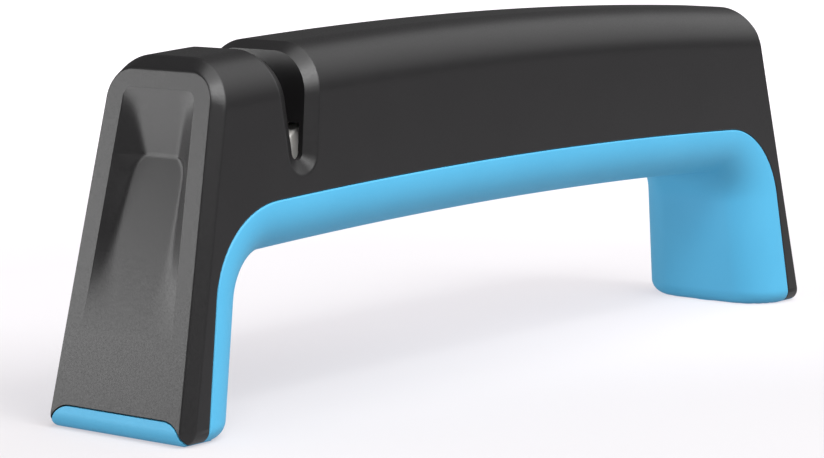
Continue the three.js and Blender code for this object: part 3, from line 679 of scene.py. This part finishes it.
# Fired alumina: chalk white and dry to the eye, with an open grain that the rims show most. The
# grit is drawn coarser than life so that it shows.
ALUMINA_GRIT = 0.3
ALUMINA_STAIN = 2.5
alumina, nodes, place = new_material("fired_alumina")
grit = add_node(nodes, "ShaderNodeTexNoise", {
    "Vector": place, "Scale": per_mm(ALUMINA_GRIT), "Detail": 4})
stain = add_node(nodes, "ShaderNodeTexNoise", {
    "Vector": place, "Scale": per_mm(ALUMINA_STAIN), "Detail": 3})
faint = add_node(nodes, "ShaderNodeMapRange", {
    "Value": stain, "From Min": 0.45, "From Max": 0.8, "To Min": 0.0, "To Max": 0.35})
colour = add_node(nodes, "ShaderNodeMix", {
    0: faint, MIX_FIRST: linear("#f1efea"), MIX_SECOND: linear("#bdb8ae")},
    data_type="RGBA")
bump = add_node(nodes, "ShaderNodeBump", {"Height": grit, "Strength": 0.35, "Distance": 0.1 * MM})
shader = add_node(nodes, "ShaderNodeBsdfPrincipled", {
    "Base Color": colour.outputs[MIX_COLOUR], "Roughness": 0.78, "IOR": 1.76,
    "Normal": bump})
add_node(nodes, "ShaderNodeOutputMaterial", {"Surface": shader})


def turned_like(node, name, bore, edge, material):
    """A turned piece with the radius, length and place of a CAD node."""
    low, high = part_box(node)
    return from_tree(name, turned, {
        "Radius": (high[2] - low[2]) / 2 / MM, "Bore": bore, "Length": (high[1] - low[1]) / MM,
        "Edge": edge, "Place": centre_of(node), "Material": material})


BORE_RADIUS = 1.6
WHEEL_EDGE = 0.35
for name in (f"{side}_wheel_{i}" for side in ("left", "right") for i in (1, 2, 3)):
    wheel = turned_like(name, f"{name}_disc", BORE_RADIUS, WHEEL_EDGE, alumina)
    fit_piece(wheel, alumina, name, [name])

# Axle pins.
# Two lengths of ground bright steel, eased at the ends, that the cradle's cheeks hold still.
# Grinding leaves fine rings round them and a clear, slightly blurred shine.
PIN_EDGE = 0.4
GRINDING_RING = 0.12
GRINDING_SPAN = 40.0
bright_steel, nodes, place = new_material("ground_bright_steel")
rings = add_node(nodes, "ShaderNodeMapping", {
    "Vector": place, "Scale": (per_mm(GRINDING_SPAN), per_mm(GRINDING_RING), per_mm(GRINDING_SPAN))})
lines = add_node(nodes, "ShaderNodeTexNoise", {"Vector": rings, "Scale": 1, "Detail": 2})
rough = add_node(nodes, "ShaderNodeMapRange", {"Value": lines, "To Min": 0.2, "To Max": 0.38})
bump = add_node(nodes, "ShaderNodeBump", {"Height": lines, "Strength": 0.1, "Distance": 0.02 * MM})
shader = add_node(nodes, "ShaderNodeBsdfPrincipled", {
    "Base Color": linear("#c3c5c8"), "Metallic": 1, "Roughness": rough,
    "Normal": bump})
add_node(nodes, "ShaderNodeOutputMaterial", {"Surface": shader})
for name in ("left_axle", "right_axle"):
    pin = turned_like(name, f"{name}_pin", 0, PIN_EDGE, bright_steel)
    fit_piece(pin, bright_steel, "root", [name])

# Spacer sleeves.
# Short turned tubes of white acetal that keep the wheels on one axle a wheel's width apart. They
# are a little creamier than the wheels, smooth and faintly waxy.
SLEEVE_EDGE = 0.2
ACETAL_CLOUD = 4.0
white_acetal, nodes, place = new_material("turned_white_acetal")
cloud = add_node(nodes, "ShaderNodeTexNoise", {
    "Vector": place, "Scale": per_mm(ACETAL_CLOUD), "Detail": 2})
colour = add_node(nodes, "ShaderNodeMix", {
    0: cloud, MIX_FIRST: linear("#e6e3da"), MIX_SECOND: linear("#dcd8cd")}, data_type="RGBA")
shader = add_node(nodes, "ShaderNodeBsdfPrincipled", {
    "Base Color": colour.outputs[MIX_COLOUR], "Roughness": 0.36, "IOR": 1.48})
add_node(nodes, "ShaderNodeOutputMaterial", {"Surface": shader})
for name in (f"{side}_sleeve_{i}" for side in ("left", "right") for i in (1, 2, 3)):
    sleeve = turned_like(name, f"{name}_tube", BORE_RADIUS, SLEEVE_EDGE, white_acetal)
    fit_piece(sleeve, white_acetal, "root", [name])

# Wheel cradle.
# A grey acetal moulding with two cheeks for the axles, pockets for the wheels and four lugs for
# its screws. Next to nothing of it shows past the wheels, so it keeps the form of its solid.
CRADLE_CLOUD = 1.2
CRADLE_WELD = 1e-3
FLAT_ANGLE = math.radians(1)
grey_acetal, nodes, place = new_material("moulded_grey_acetal")
cloud = add_node(nodes, "ShaderNodeTexNoise", {
    "Vector": place, "Scale": per_mm(CRADLE_CLOUD), "Detail": 4})
colour = add_node(nodes, "ShaderNodeMix", {
    0: cloud, MIX_FIRST: linear("#6f7274"), MIX_SECOND: linear("#a9acad")}, data_type="RGBA")
bump = add_node(nodes, "ShaderNodeBump", {"Height": cloud, "Strength": 0.15, "Distance": 0.1 * MM})
shader = add_node(nodes, "ShaderNodeBsdfPrincipled", {
    "Base Color": colour.outputs[MIX_COLOUR], "Roughness": 0.5, "IOR": 1.48,
    "Normal": bump})
add_node(nodes, "ShaderNodeOutputMaterial", {"Surface": shader})
cradle_form = bmesh.new()
cradle_form.from_mesh(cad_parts["wheel_cradle"].data)
bmesh.ops.scale(cradle_form, vec=(1 / MM,) * 3, verts=cradle_form.verts)
bmesh.ops.remove_doubles(cradle_form, verts=cradle_form.verts, dist=CRADLE_WELD)
bmesh.ops.dissolve_limit(
    cradle_form, angle_limit=FLAT_ANGLE, verts=cradle_form.verts, edges=cradle_form.edges)
cradle_mesh = bpy.data.meshes.new("grey_cradle")
cradle_form.to_mesh(cradle_mesh)
cradle_form.free()
cradle = new_object("grey_cradle", cradle_mesh)
fit_piece(cradle, grey_acetal, "root", ["wheel_cradle"])

# Inner liner.
# The sky-blue moulding that rounds off the grip and closes the legs and feet: a channel of softer
# polymer, swept along the parting line, with a floor and a screw well in each foot.
LINER_DEPTH = 9.3
LINER_WALL = 2.4
LINER_EDGE = 0.35
LINER_GAP = 0.06
FOOT_PAD_RADIUS = 5.4
FOOT_PAD_TOP = 5.4
FOOT_WELL_RADIUS = 3.3
FOOT_WELL_TOP = 3.0

# A bar with round lower edges, swept along a path, hollowed by a shorter core and drawn narrower
# with height. The core's path is cut by length, with sockets that share their names with others.
TRIM_START = 4
TRIM_END = 5
channel = new_tree("swept_channel", {
    "Path": "Geometry", "Width": "Float", "Depth": "Float", "Wall": "Float", "Gap": "Float",
    "Edge": "Float", "Foot": "Float", "Draft": "Float", "Material": "Material"})
given = add_node(channel, "NodeGroupInput").outputs
line = add_node(channel, "GeometryNodeMeshToCurve", {"Mesh": given["Path"]})
path = add_node(channel, "GeometryNodeSetCurveNormal", {"Curve": line, "Normal": (0, 1, 0)}, mode="FREE")
length = add_node(channel, "GeometryNodeCurveLength", {"Curve": path})
far_end = add_node(channel, "ShaderNodeMath", {0: length, 1: given["Foot"]}, operation="SUBTRACT")
core_path = add_node(channel, "GeometryNodeTrimCurve", {
    "Curve": path, TRIM_START: given["Foot"], TRIM_END: far_end},
    mode="LENGTH")
sweeps = []
for part in ("bar", "core"):
    if part == "bar":
        wide = given["Width"]
        rise = add_node(channel, "ShaderNodeMath", {0: given["Gap"], 1: -1}, operation="MULTIPLY")
        sink = given["Depth"]
        route = path
    else:
        walls = add_node(channel, "ShaderNodeMath", {0: given["Wall"], 1: 2}, operation="MULTIPLY")
        wide = add_node(channel, "ShaderNodeMath", {0: given["Width"], 1: walls}, operation="SUBTRACT")
        rise = given["Wall"]
        sink = add_node(channel, "ShaderNodeMath", {
            0: given["Depth"], 1: given["Wall"]}, operation="SUBTRACT")
        route = core_path
    tall = add_node(channel, "ShaderNodeMath", {0: sink, 1: rise}, operation="ADD")
    shift = add_node(channel, "ShaderNodeMath", {0: rise, 1: sink}, operation="SUBTRACT")
    lower = add_node(channel, "ShaderNodeMath", {0: shift, 1: 0.5}, operation="MULTIPLY")
    offset = add_node(channel, "ShaderNodeCombineXYZ", {"Y": lower})
    section = add_node(channel, "GeometryNodeCurvePrimitiveQuadrilateral", {
        "Width": wide, "Height": tall})
    at = add_node(channel, "GeometryNodeInputPosition")
    split = add_node(channel, "ShaderNodeSeparateXYZ", {"Vector": at})
    below = add_node(channel, "FunctionNodeCompare", {0: split.outputs["Y"], 1: 0.0}, operation="LESS_THAN")
    bend = add_node(channel, "ShaderNodeMath", {0: sink, 1: given["Edge"]}, operation="SUBTRACT")
    radius = add_node(channel, "GeometryNodeSwitch", {
        "Switch": below, "False": given["Edge"], "True": bend}, input_type="FLOAT")
    eased = add_node(channel, "GeometryNodeFilletCurve", {
        "Curve": section, "Radius": radius, "Limit Radius": True,
        "Count": FILLET_STEPS}, mode="POLY")
    hung = add_node(channel, "GeometryNodeTransform", {"Geometry": eased, "Translation": offset})
    sweeps.append(add_node(channel, "GeometryNodeCurveToMesh", {
        "Curve": route, "Profile Curve": hung, "Fill Caps": True}))
hollow = add_node(channel, "GeometryNodeMeshBoolean", {
    "Mesh 1": sweeps[0], "Mesh 2": sweeps[1]}, operation="DIFFERENCE", solver="EXACT")
at = add_node(channel, "GeometryNodeInputPosition")
split = add_node(channel, "ShaderNodeSeparateXYZ", {"Vector": at})
half_wide = add_node(channel, "ShaderNodeMath", {0: given["Width"], 1: 0.5}, operation="MULTIPLY")
lost = add_node(channel, "ShaderNodeMath", {0: split.outputs["Z"], 1: given["Draft"]}, operation="MULTIPLY")
share = add_node(channel, "ShaderNodeMath", {0: lost, 1: half_wide}, operation="DIVIDE")
kept = add_node(channel, "ShaderNodeMath", {0: 1.0, 1: share}, operation="SUBTRACT")
narrow = add_node(channel, "ShaderNodeMath", {0: split.outputs["Y"], 1: kept}, operation="MULTIPLY")
moved = add_node(channel, "ShaderNodeCombineXYZ", {
    "X": split.outputs["X"], "Y": narrow, "Z": split.outputs["Z"]})
drafted = add_node(channel, "GeometryNodeSetPosition", {"Geometry": hollow, "Position": moved})
real = add_node(channel, "GeometryNodeRealizeInstances", {"Geometry": drafted})
dressed = add_node(channel, "GeometryNodeSetMaterial", {"Geometry": real, "Material": given["Material"]})
add_node(channel, "NodeGroupOutput", {"Geometry": dressed})

# A softer moulded polymer: clear sky blue and matt, with a fine even grain. The grain is drawn
# coarser than life so that it shows.
LINER_GRAIN = 0.4
LINER_CLOUD = 12.0
blue_polymer, nodes, place = new_material("moulded_sky_blue_polymer")
cloud = add_node(nodes, "ShaderNodeTexNoise", {
    "Vector": place, "Scale": per_mm(LINER_CLOUD), "Detail": 2})
grain = add_node(nodes, "ShaderNodeTexNoise", {
    "Vector": place, "Scale": per_mm(LINER_GRAIN), "Detail": 3})
colour = add_node(nodes, "ShaderNodeMix", {
    0: cloud, MIX_FIRST: linear("#4fadd6"), MIX_SECOND: linear("#48a6d0")}, data_type="RGBA")
rough = add_node(nodes, "ShaderNodeMapRange", {
    "Value": grain, "From Min": 0.3, "From Max": 0.7, "To Min": 0.52, "To Max": 0.62})
bump = add_node(nodes, "ShaderNodeBump", {"Height": grain, "Strength": 0.1, "Distance": 0.05 * MM})
shader = add_node(nodes, "ShaderNodeBsdfPrincipled", {
    "Base Color": colour.outputs[MIX_COLOUR], "Roughness": rough, "IOR": 1.5,
    "Normal": bump})
add_node(nodes, "ShaderNodeOutputMaterial", {"Surface": shader})

# The path has close points near the floor, where the legs will be drawn in.
drawn_in = FOOT_SIDE_RADIUS + LINER_DEPTH * math.sin(SEAM_LEAN)
leg_levels = spaced(0, drawn_in, ARC_STEPS)
leg_line = [(-seam_half_span + z * math.tan(SEAM_LEAN), 0, z) for z in leg_levels]
seam_line = bpy.data.meshes.new("seam_line")
seam_points = [(x, 0, z) for (x, z), normal in seam_path()]
seam_points[1:1] = leg_line
seam_points[-1:-1] = [(-x, y, z) for x, y, z in reversed(leg_line)]
seam_line.from_pydata(seam_points, [(i, i + 1) for i in range(len(seam_points) - 1)], [])
liner = from_tree("blue_liner", channel, {
    "Width": WIDTH, "Depth": LINER_DEPTH, "Wall": LINER_WALL, "Gap": LINER_GAP, "Edge": LINER_EDGE,
    "Foot": (SEAM_BELOW + FOOT_HEIGHT) / math.cos(SEAM_LEAN), "Draft": math.tan(SIDE_DRAFT),
    "Material": blue_polymer}, seam_line)

# The legs draw in just above the floor, so that their bottom edges come out round.
for vertex in liner.data.vertices:
    x, y, z = vertex.co
    low = min(1, max(0, 1 - z / FOOT_SIDE_RADIUS))
    kept = 1 - 2 * FOOT_SIDE_RADIUS / WIDTH * (1 - math.sqrt(1 - low * low))
    seam_x = math.copysign(seam_half_span - z * math.tan(SEAM_LEAN), x)
    if low > 0:
        vertex.co = (seam_x + (x - seam_x) * kept, y * kept, z)
far = 2 * HALF_LENGTH
floor_line = [(-far, -SEAM_BELOW - far), (far, -SEAM_BELOW - far), (far, 0), (-far, 0)]
work(liner, "DIFFERENCE", [across("under_floor", floor_line, -far, far)])
for side in (-1, 1):
    plate = work(foot_plate(side, 0), "INTERSECT", [outer_form()])
    pad = post("foot_pad", side * foot_screw_x, 0, FOOT_PAD_RADIUS, 0, FOOT_PAD_TOP)
    work(liner, "UNION", [plate, pad])
    well = post("foot_well", side * foot_screw_x, 0, FOOT_WELL_RADIUS, -OVERCUT, FOOT_WELL_TOP)
    hole = post("foot_hole", side * foot_screw_x, 0, FOOT_PILOT_RADIUS, -OVERCUT, FOOT_PAD_TOP + OVERCUT)
    work(liner, "DIFFERENCE", [well, hole])
fit_piece(liner, blue_polymer, "root", ["inner_liner"])

# Screws.
# Four small thread-forming screws hold the cradle up to its bosses, and a larger one in a well
# under each foot holds the liner. All are cold-headed steel with a six-sided recess, zinc plated.
THREAD_SIDES = 24
THREAD_SHARE = 0.3
RIDGE_SIDES = 4
HEX_SIDES = 6
HEAD_EDGE = 0.35
RECESS_SHARE = 0.55
CRADLE_SCREW = {"Head Height": 1.6, "Shank Radius": 1.0, "Pitch": 0.7}
FOOT_SCREW = {"Head Height": 2.2, "Shank Radius": 1.5, "Pitch": 1.1}
fastener = new_tree("fastener", {
    "Places": "Geometry", "Head Radius": "Float", "Head Height": "Float", "Head Edge": "Float",
    "Recess": "Float", "Shank Radius": "Float", "Shank Length": "Float", "Pitch": "Float",
    "Material": "Material"})
given = add_node(fastener, "NodeGroupInput").outputs
head_middle = add_node(fastener, "ShaderNodeMath", {0: given["Head Height"], 1: 0.5}, operation="MULTIPLY")
head_place = add_node(fastener, "ShaderNodeCombineXYZ", {"Y": head_middle})
head = add_node(fastener, "GeometryNodeGroup", {
    "Radius": given["Head Radius"], "Length": given["Head Height"], "Edge": given["Head Edge"],
    "Place": head_place}, node_tree=turned)
upright_head = add_node(fastener, "GeometryNodeTransform", {
    "Geometry": head, "Rotation": (math.pi / 2, 0, 0)})
recess = add_node(fastener, "GeometryNodeMeshCylinder", {
    "Vertices": HEX_SIDES, "Radius": given["Recess"], "Depth": given["Head Height"]})
socket = add_node(fastener, "GeometryNodeMeshBoolean", {
    "Mesh 1": upright_head, "Mesh 2": recess},
    operation="DIFFERENCE", solver="EXACT")
ridge_size = add_node(fastener, "ShaderNodeMath", {0: given["Pitch"], 1: THREAD_SHARE}, operation="MULTIPLY")
core_radius = add_node(fastener, "ShaderNodeMath", {
    0: given["Shank Radius"], 1: ridge_size}, operation="SUBTRACT")
shank_middle = add_node(fastener, "ShaderNodeMath", {
    0: given["Shank Length"], 1: 0.5, 2: given["Head Height"]}, operation="MULTIPLY_ADD")
shank_place = add_node(fastener, "ShaderNodeCombineXYZ", {"Z": shank_middle})
core = add_node(fastener, "GeometryNodeMeshCylinder", {
    "Vertices": THREAD_SIDES, "Radius": core_radius, "Depth": given["Shank Length"]})
core_up = add_node(fastener, "GeometryNodeTransform", {"Geometry": core, "Translation": shank_place})
threaded = add_node(fastener, "ShaderNodeMath", {
    0: given["Shank Length"], 1: given["Pitch"]}, operation="SUBTRACT")
turns = add_node(fastener, "ShaderNodeMath", {0: threaded, 1: given["Pitch"]}, operation="DIVIDE")
helix = add_node(fastener, "GeometryNodeCurveSpiral", {
    "Resolution": THREAD_SIDES, "Rotations": turns, "Start Radius": core_radius,
    "End Radius": core_radius, "Height": threaded})
steady = add_node(fastener, "GeometryNodeSetCurveNormal", {"Curve": helix}, mode="Z_UP")
ridge = add_node(fastener, "GeometryNodeCurvePrimitiveCircle", {
    "Resolution": RIDGE_SIDES, "Radius": ridge_size})
thread = add_node(fastener, "GeometryNodeCurveToMesh", {
    "Curve": steady, "Profile Curve": ridge, "Fill Caps": True})
half_pitch = add_node(fastener, "ShaderNodeMath", {
    0: given["Pitch"], 1: 0.5, 2: given["Head Height"]}, operation="MULTIPLY_ADD")
thread_place = add_node(fastener, "ShaderNodeCombineXYZ", {"Z": half_pitch})
thread_up = add_node(fastener, "GeometryNodeTransform", {"Geometry": thread, "Translation": thread_place})
whole = add_node(fastener, "GeometryNodeJoinGeometry")
for part in (socket.outputs["Mesh"], core_up.outputs["Geometry"], thread_up.outputs["Geometry"]):
    fastener.links.new(part, whole.inputs["Geometry"])
spots = add_node(fastener, "GeometryNodeMeshToPoints", {"Mesh": given["Places"]})
driven = add_node(fastener, "GeometryNodeInstanceOnPoints", {"Points": spots, "Instance": whole})
real = add_node(fastener, "GeometryNodeRealizeInstances", {"Geometry": driven})
dressed = add_node(fastener, "GeometryNodeSetMaterial", {"Geometry": real, "Material": given["Material"]})
add_node(fastener, "NodeGroupOutput", {"Geometry": dressed})

# Zinc plating over steel: a cool, bright but not mirror-like skin, with soft darker clouds that the
# plating bath leaves.
ZINC_CLOUD = 1.5
zinc_plate, nodes, place = new_material("zinc_plated_steel")
cloud = add_node(nodes, "ShaderNodeTexNoise", {"Vector": place, "Scale": per_mm(ZINC_CLOUD), "Detail": 3})
colour = add_node(nodes, "ShaderNodeMix", {
    0: cloud, MIX_FIRST: linear("#c4c8cc"), MIX_SECOND: linear("#a2a6aa")}, data_type="RGBA")
rough = add_node(nodes, "ShaderNodeMapRange", {"Value": cloud, "To Min": 0.28, "To Max": 0.46})
shader = add_node(nodes, "ShaderNodeBsdfPrincipled", {
    "Base Color": colour.outputs[MIX_COLOUR], "Metallic": 1, "Roughness": rough})
add_node(nodes, "ShaderNodeOutputMaterial", {"Surface": shader})
screw_sets = [
    ("cradle_screws", [f"cradle_screw_{i}" for i in (1, 2, 3, 4)], CRADLE_SCREW),
    ("foot_screws", ["left_foot_screw", "right_foot_screw"], FOOT_SCREW)]
for name, replaced, screw in screw_sets:
    places = bpy.data.meshes.new(name)
    seats = [(*centre_of(node)[:2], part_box(node)[0][2] / MM) for node in replaced]
    places.from_pydata(seats, [], [])
    screw_low, screw_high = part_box(replaced[0])
    head_radius = (screw_high[0] - screw_low[0]) / 2 / MM
    shank_length = (screw_high[2] - screw_low[2]) / MM - screw["Head Height"]
    screws = from_tree(name, fastener, {
        **screw, "Head Radius": head_radius, "Head Edge": HEAD_EDGE, "Shank Length": shank_length,
        "Recess": RECESS_SHARE * head_radius, "Material": zinc_plate}, places)
    fit_piece(screws, zinc_plate, "root", replaced)

# Studio.
# A card floor with a painted glow that grows with distance and behind the sharpener, where it
# thins the cast shadow; soft lights all round: left, right, above and in front, a low one for the
# end face and one that reaches into the slot.
# The camera stands where the photograph was taken from.
IMAGE_WIDTH = 824
FOCAL_PIXELS = 3003
SENSOR = 36.0
CAMERA_PLACE = (-0.46144, -0.34617, 0.10501)
CAMERA_YAW = math.radians(52.06)
CAMERA_PITCH = math.radians(7.91)
camera_data = bpy.data.cameras.new("camera")
camera_data.sensor_width = SENSOR
camera_data.lens = FOCAL_PIXELS / IMAGE_WIDTH * SENSOR
camera = new_object("camera", camera_data)
camera.location = CAMERA_PLACE
camera.rotation_euler = (math.pi / 2 - CAMERA_PITCH, 0, -CAMERA_YAW)
bpy.context.scene.camera = camera

FLOOR_HALF = 4.0
floor_mesh = bpy.data.meshes.new("floor")
corners = [(x * FLOOR_HALF, y * FLOOR_HALF, 0) for x, y in ((-1, -1), (1, -1), (1, 1), (-1, 1))]
floor_mesh.from_pydata(corners, [], [(0, 1, 2, 3)])
floor = new_object("floor", floor_mesh)

# Matt mid-grey card with a painted glow, which is painted light. A faint part of the glow reaches
# every ray and lights the sharpener from below like a lamp. The rest is seen by the camera alone; it
# grows with distance and is stronger behind the sharpener, where it washes out the handle's cast shadow.
NEAR_FLOOR = 0.15
FAR_FLOOR = 0.6
NEAR_GLOW = 0.23
FAR_GLOW = 0.7
BACKDROP_TURN = math.radians(52)
BACKDROP_EDGE = 0.05
PAINTED_SHADOW_FILL = 0.11
CARD_GLOW = 0.3
card_with_painted_glow, nodes, place = new_material("card_with_painted_glow")
# Painted light: the glow that the camera sees grows with distance from the sharpener.
away = add_node(nodes, "ShaderNodeVectorMath", {0: place}, operation="LENGTH")
painted_distance_glow = add_node(nodes, "ShaderNodeMapRange", {
    "Value": away.outputs["Value"], "From Min": NEAR_FLOOR, "From Max": FAR_FLOOR,
    "To Min": NEAR_GLOW, "To Max": FAR_GLOW})
# Painted light: more glow on the far side of the sharpener, where the handle's shadow falls, to thin that
# shadow.
backdrop = (math.sin(BACKDROP_TURN), math.cos(BACKDROP_TURN), 0)
behind = add_node(nodes, "ShaderNodeVectorMath", {0: place, 1: backdrop}, operation="DOT_PRODUCT")
lift = add_node(nodes, "ShaderNodeMapRange", {
    "Value": behind.outputs["Value"], "From Min": -BACKDROP_EDGE, "From Max": BACKDROP_EDGE,
    "To Min": 0.0, "To Max": PAINTED_SHADOW_FILL}, interpolation_type="SMOOTHSTEP")
bright = add_node(nodes, "ShaderNodeMath", {0: painted_distance_glow, 1: lift}, operation="ADD")
# Painted light: CARD_GLOW reaches every ray and lights the sharpener from below; the rest is for camera rays
# only.
ray = add_node(nodes, "ShaderNodeLightPath")
glow = add_node(nodes, "ShaderNodeMath", {
    0: ray.outputs["Is Camera Ray"], 1: bright, 2: CARD_GLOW}, operation="MULTIPLY_ADD")
shader = add_node(nodes, "ShaderNodeBsdfPrincipled", {
    "Base Color": linear("#898989"), "Roughness": 0.8, "Emission Color": linear("#fffaff"),
    "Emission Strength": glow})
add_node(nodes, "ShaderNodeOutputMaterial", {"Surface": shader})
floor_mesh.materials.append(card_with_painted_glow)
floor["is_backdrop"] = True

FILL_STRENGTH = 0.12
PAPER_STRENGTH = 1.0
world = bpy.data.worlds.new("studio")
world.use_nodes = True
nodes = world.node_tree
nodes.nodes.clear()
fill = add_node(nodes, "ShaderNodeBackground", {"Color": linear("#ffffff"), "Strength": FILL_STRENGTH})
paper = add_node(nodes, "ShaderNodeBackground", {"Color": linear("#ffffff"), "Strength": PAPER_STRENGTH})
ray = add_node(nodes, "ShaderNodeLightPath")
seen = add_node(nodes, "ShaderNodeMixShader", {0: ray.outputs["Is Camera Ray"], 1: fill, 2: paper})
add_node(nodes, "ShaderNodeOutputWorld", {"Surface": seen})
bpy.context.scene.world = world
bpy.context.scene.view_settings.view_transform = "Standard"


def soft_light(name, place, aim, wide, tall, power):
    """A soft light that faces a point."""
    light = bpy.data.lights.new(name, "AREA")
    light.shape = "RECTANGLE"
    light.size = wide
    light.size_y = tall
    light.energy = power
    lamp = new_object(name, light)
    lamp.location = place
    lamp.visible_camera = False
    heading = Vector(aim) - Vector(place)
    lamp.rotation_euler = heading.to_track_quat("-Z", "Y").to_euler()


soft_light("left_light", place=(-0.8, 0.85, 0.2), aim=(-0.09, 0, 0.04), wide=1.0, tall=0.45, power=7.2)
soft_light("low_light", place=(-0.42, 0.3, 0.004), aim=(-0.42, 0.3, 1), wide=0.45, tall=0.45, power=2.4)
soft_light("right_light", place=(1.0, -0.25, 0.8), aim=(0, 0, 0.05), wide=1.1, tall=1.1, power=4.0)
soft_light("top_light", place=(0.0, -0.3, 1.4), aim=(0, 0, 0.03), wide=1.2, tall=1.2, power=11)
soft_light("front_light", place=(-0.1, -0.95, 1.0), aim=(0, 0, 0.03), wide=0.8, tall=0.8, power=17)
soft_light("slot_light", place=(-0.75, -0.6, 0.9), aim=(-0.066, 0, 0.05), wide=0.4, tall=0.4, power=6)

low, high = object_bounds()
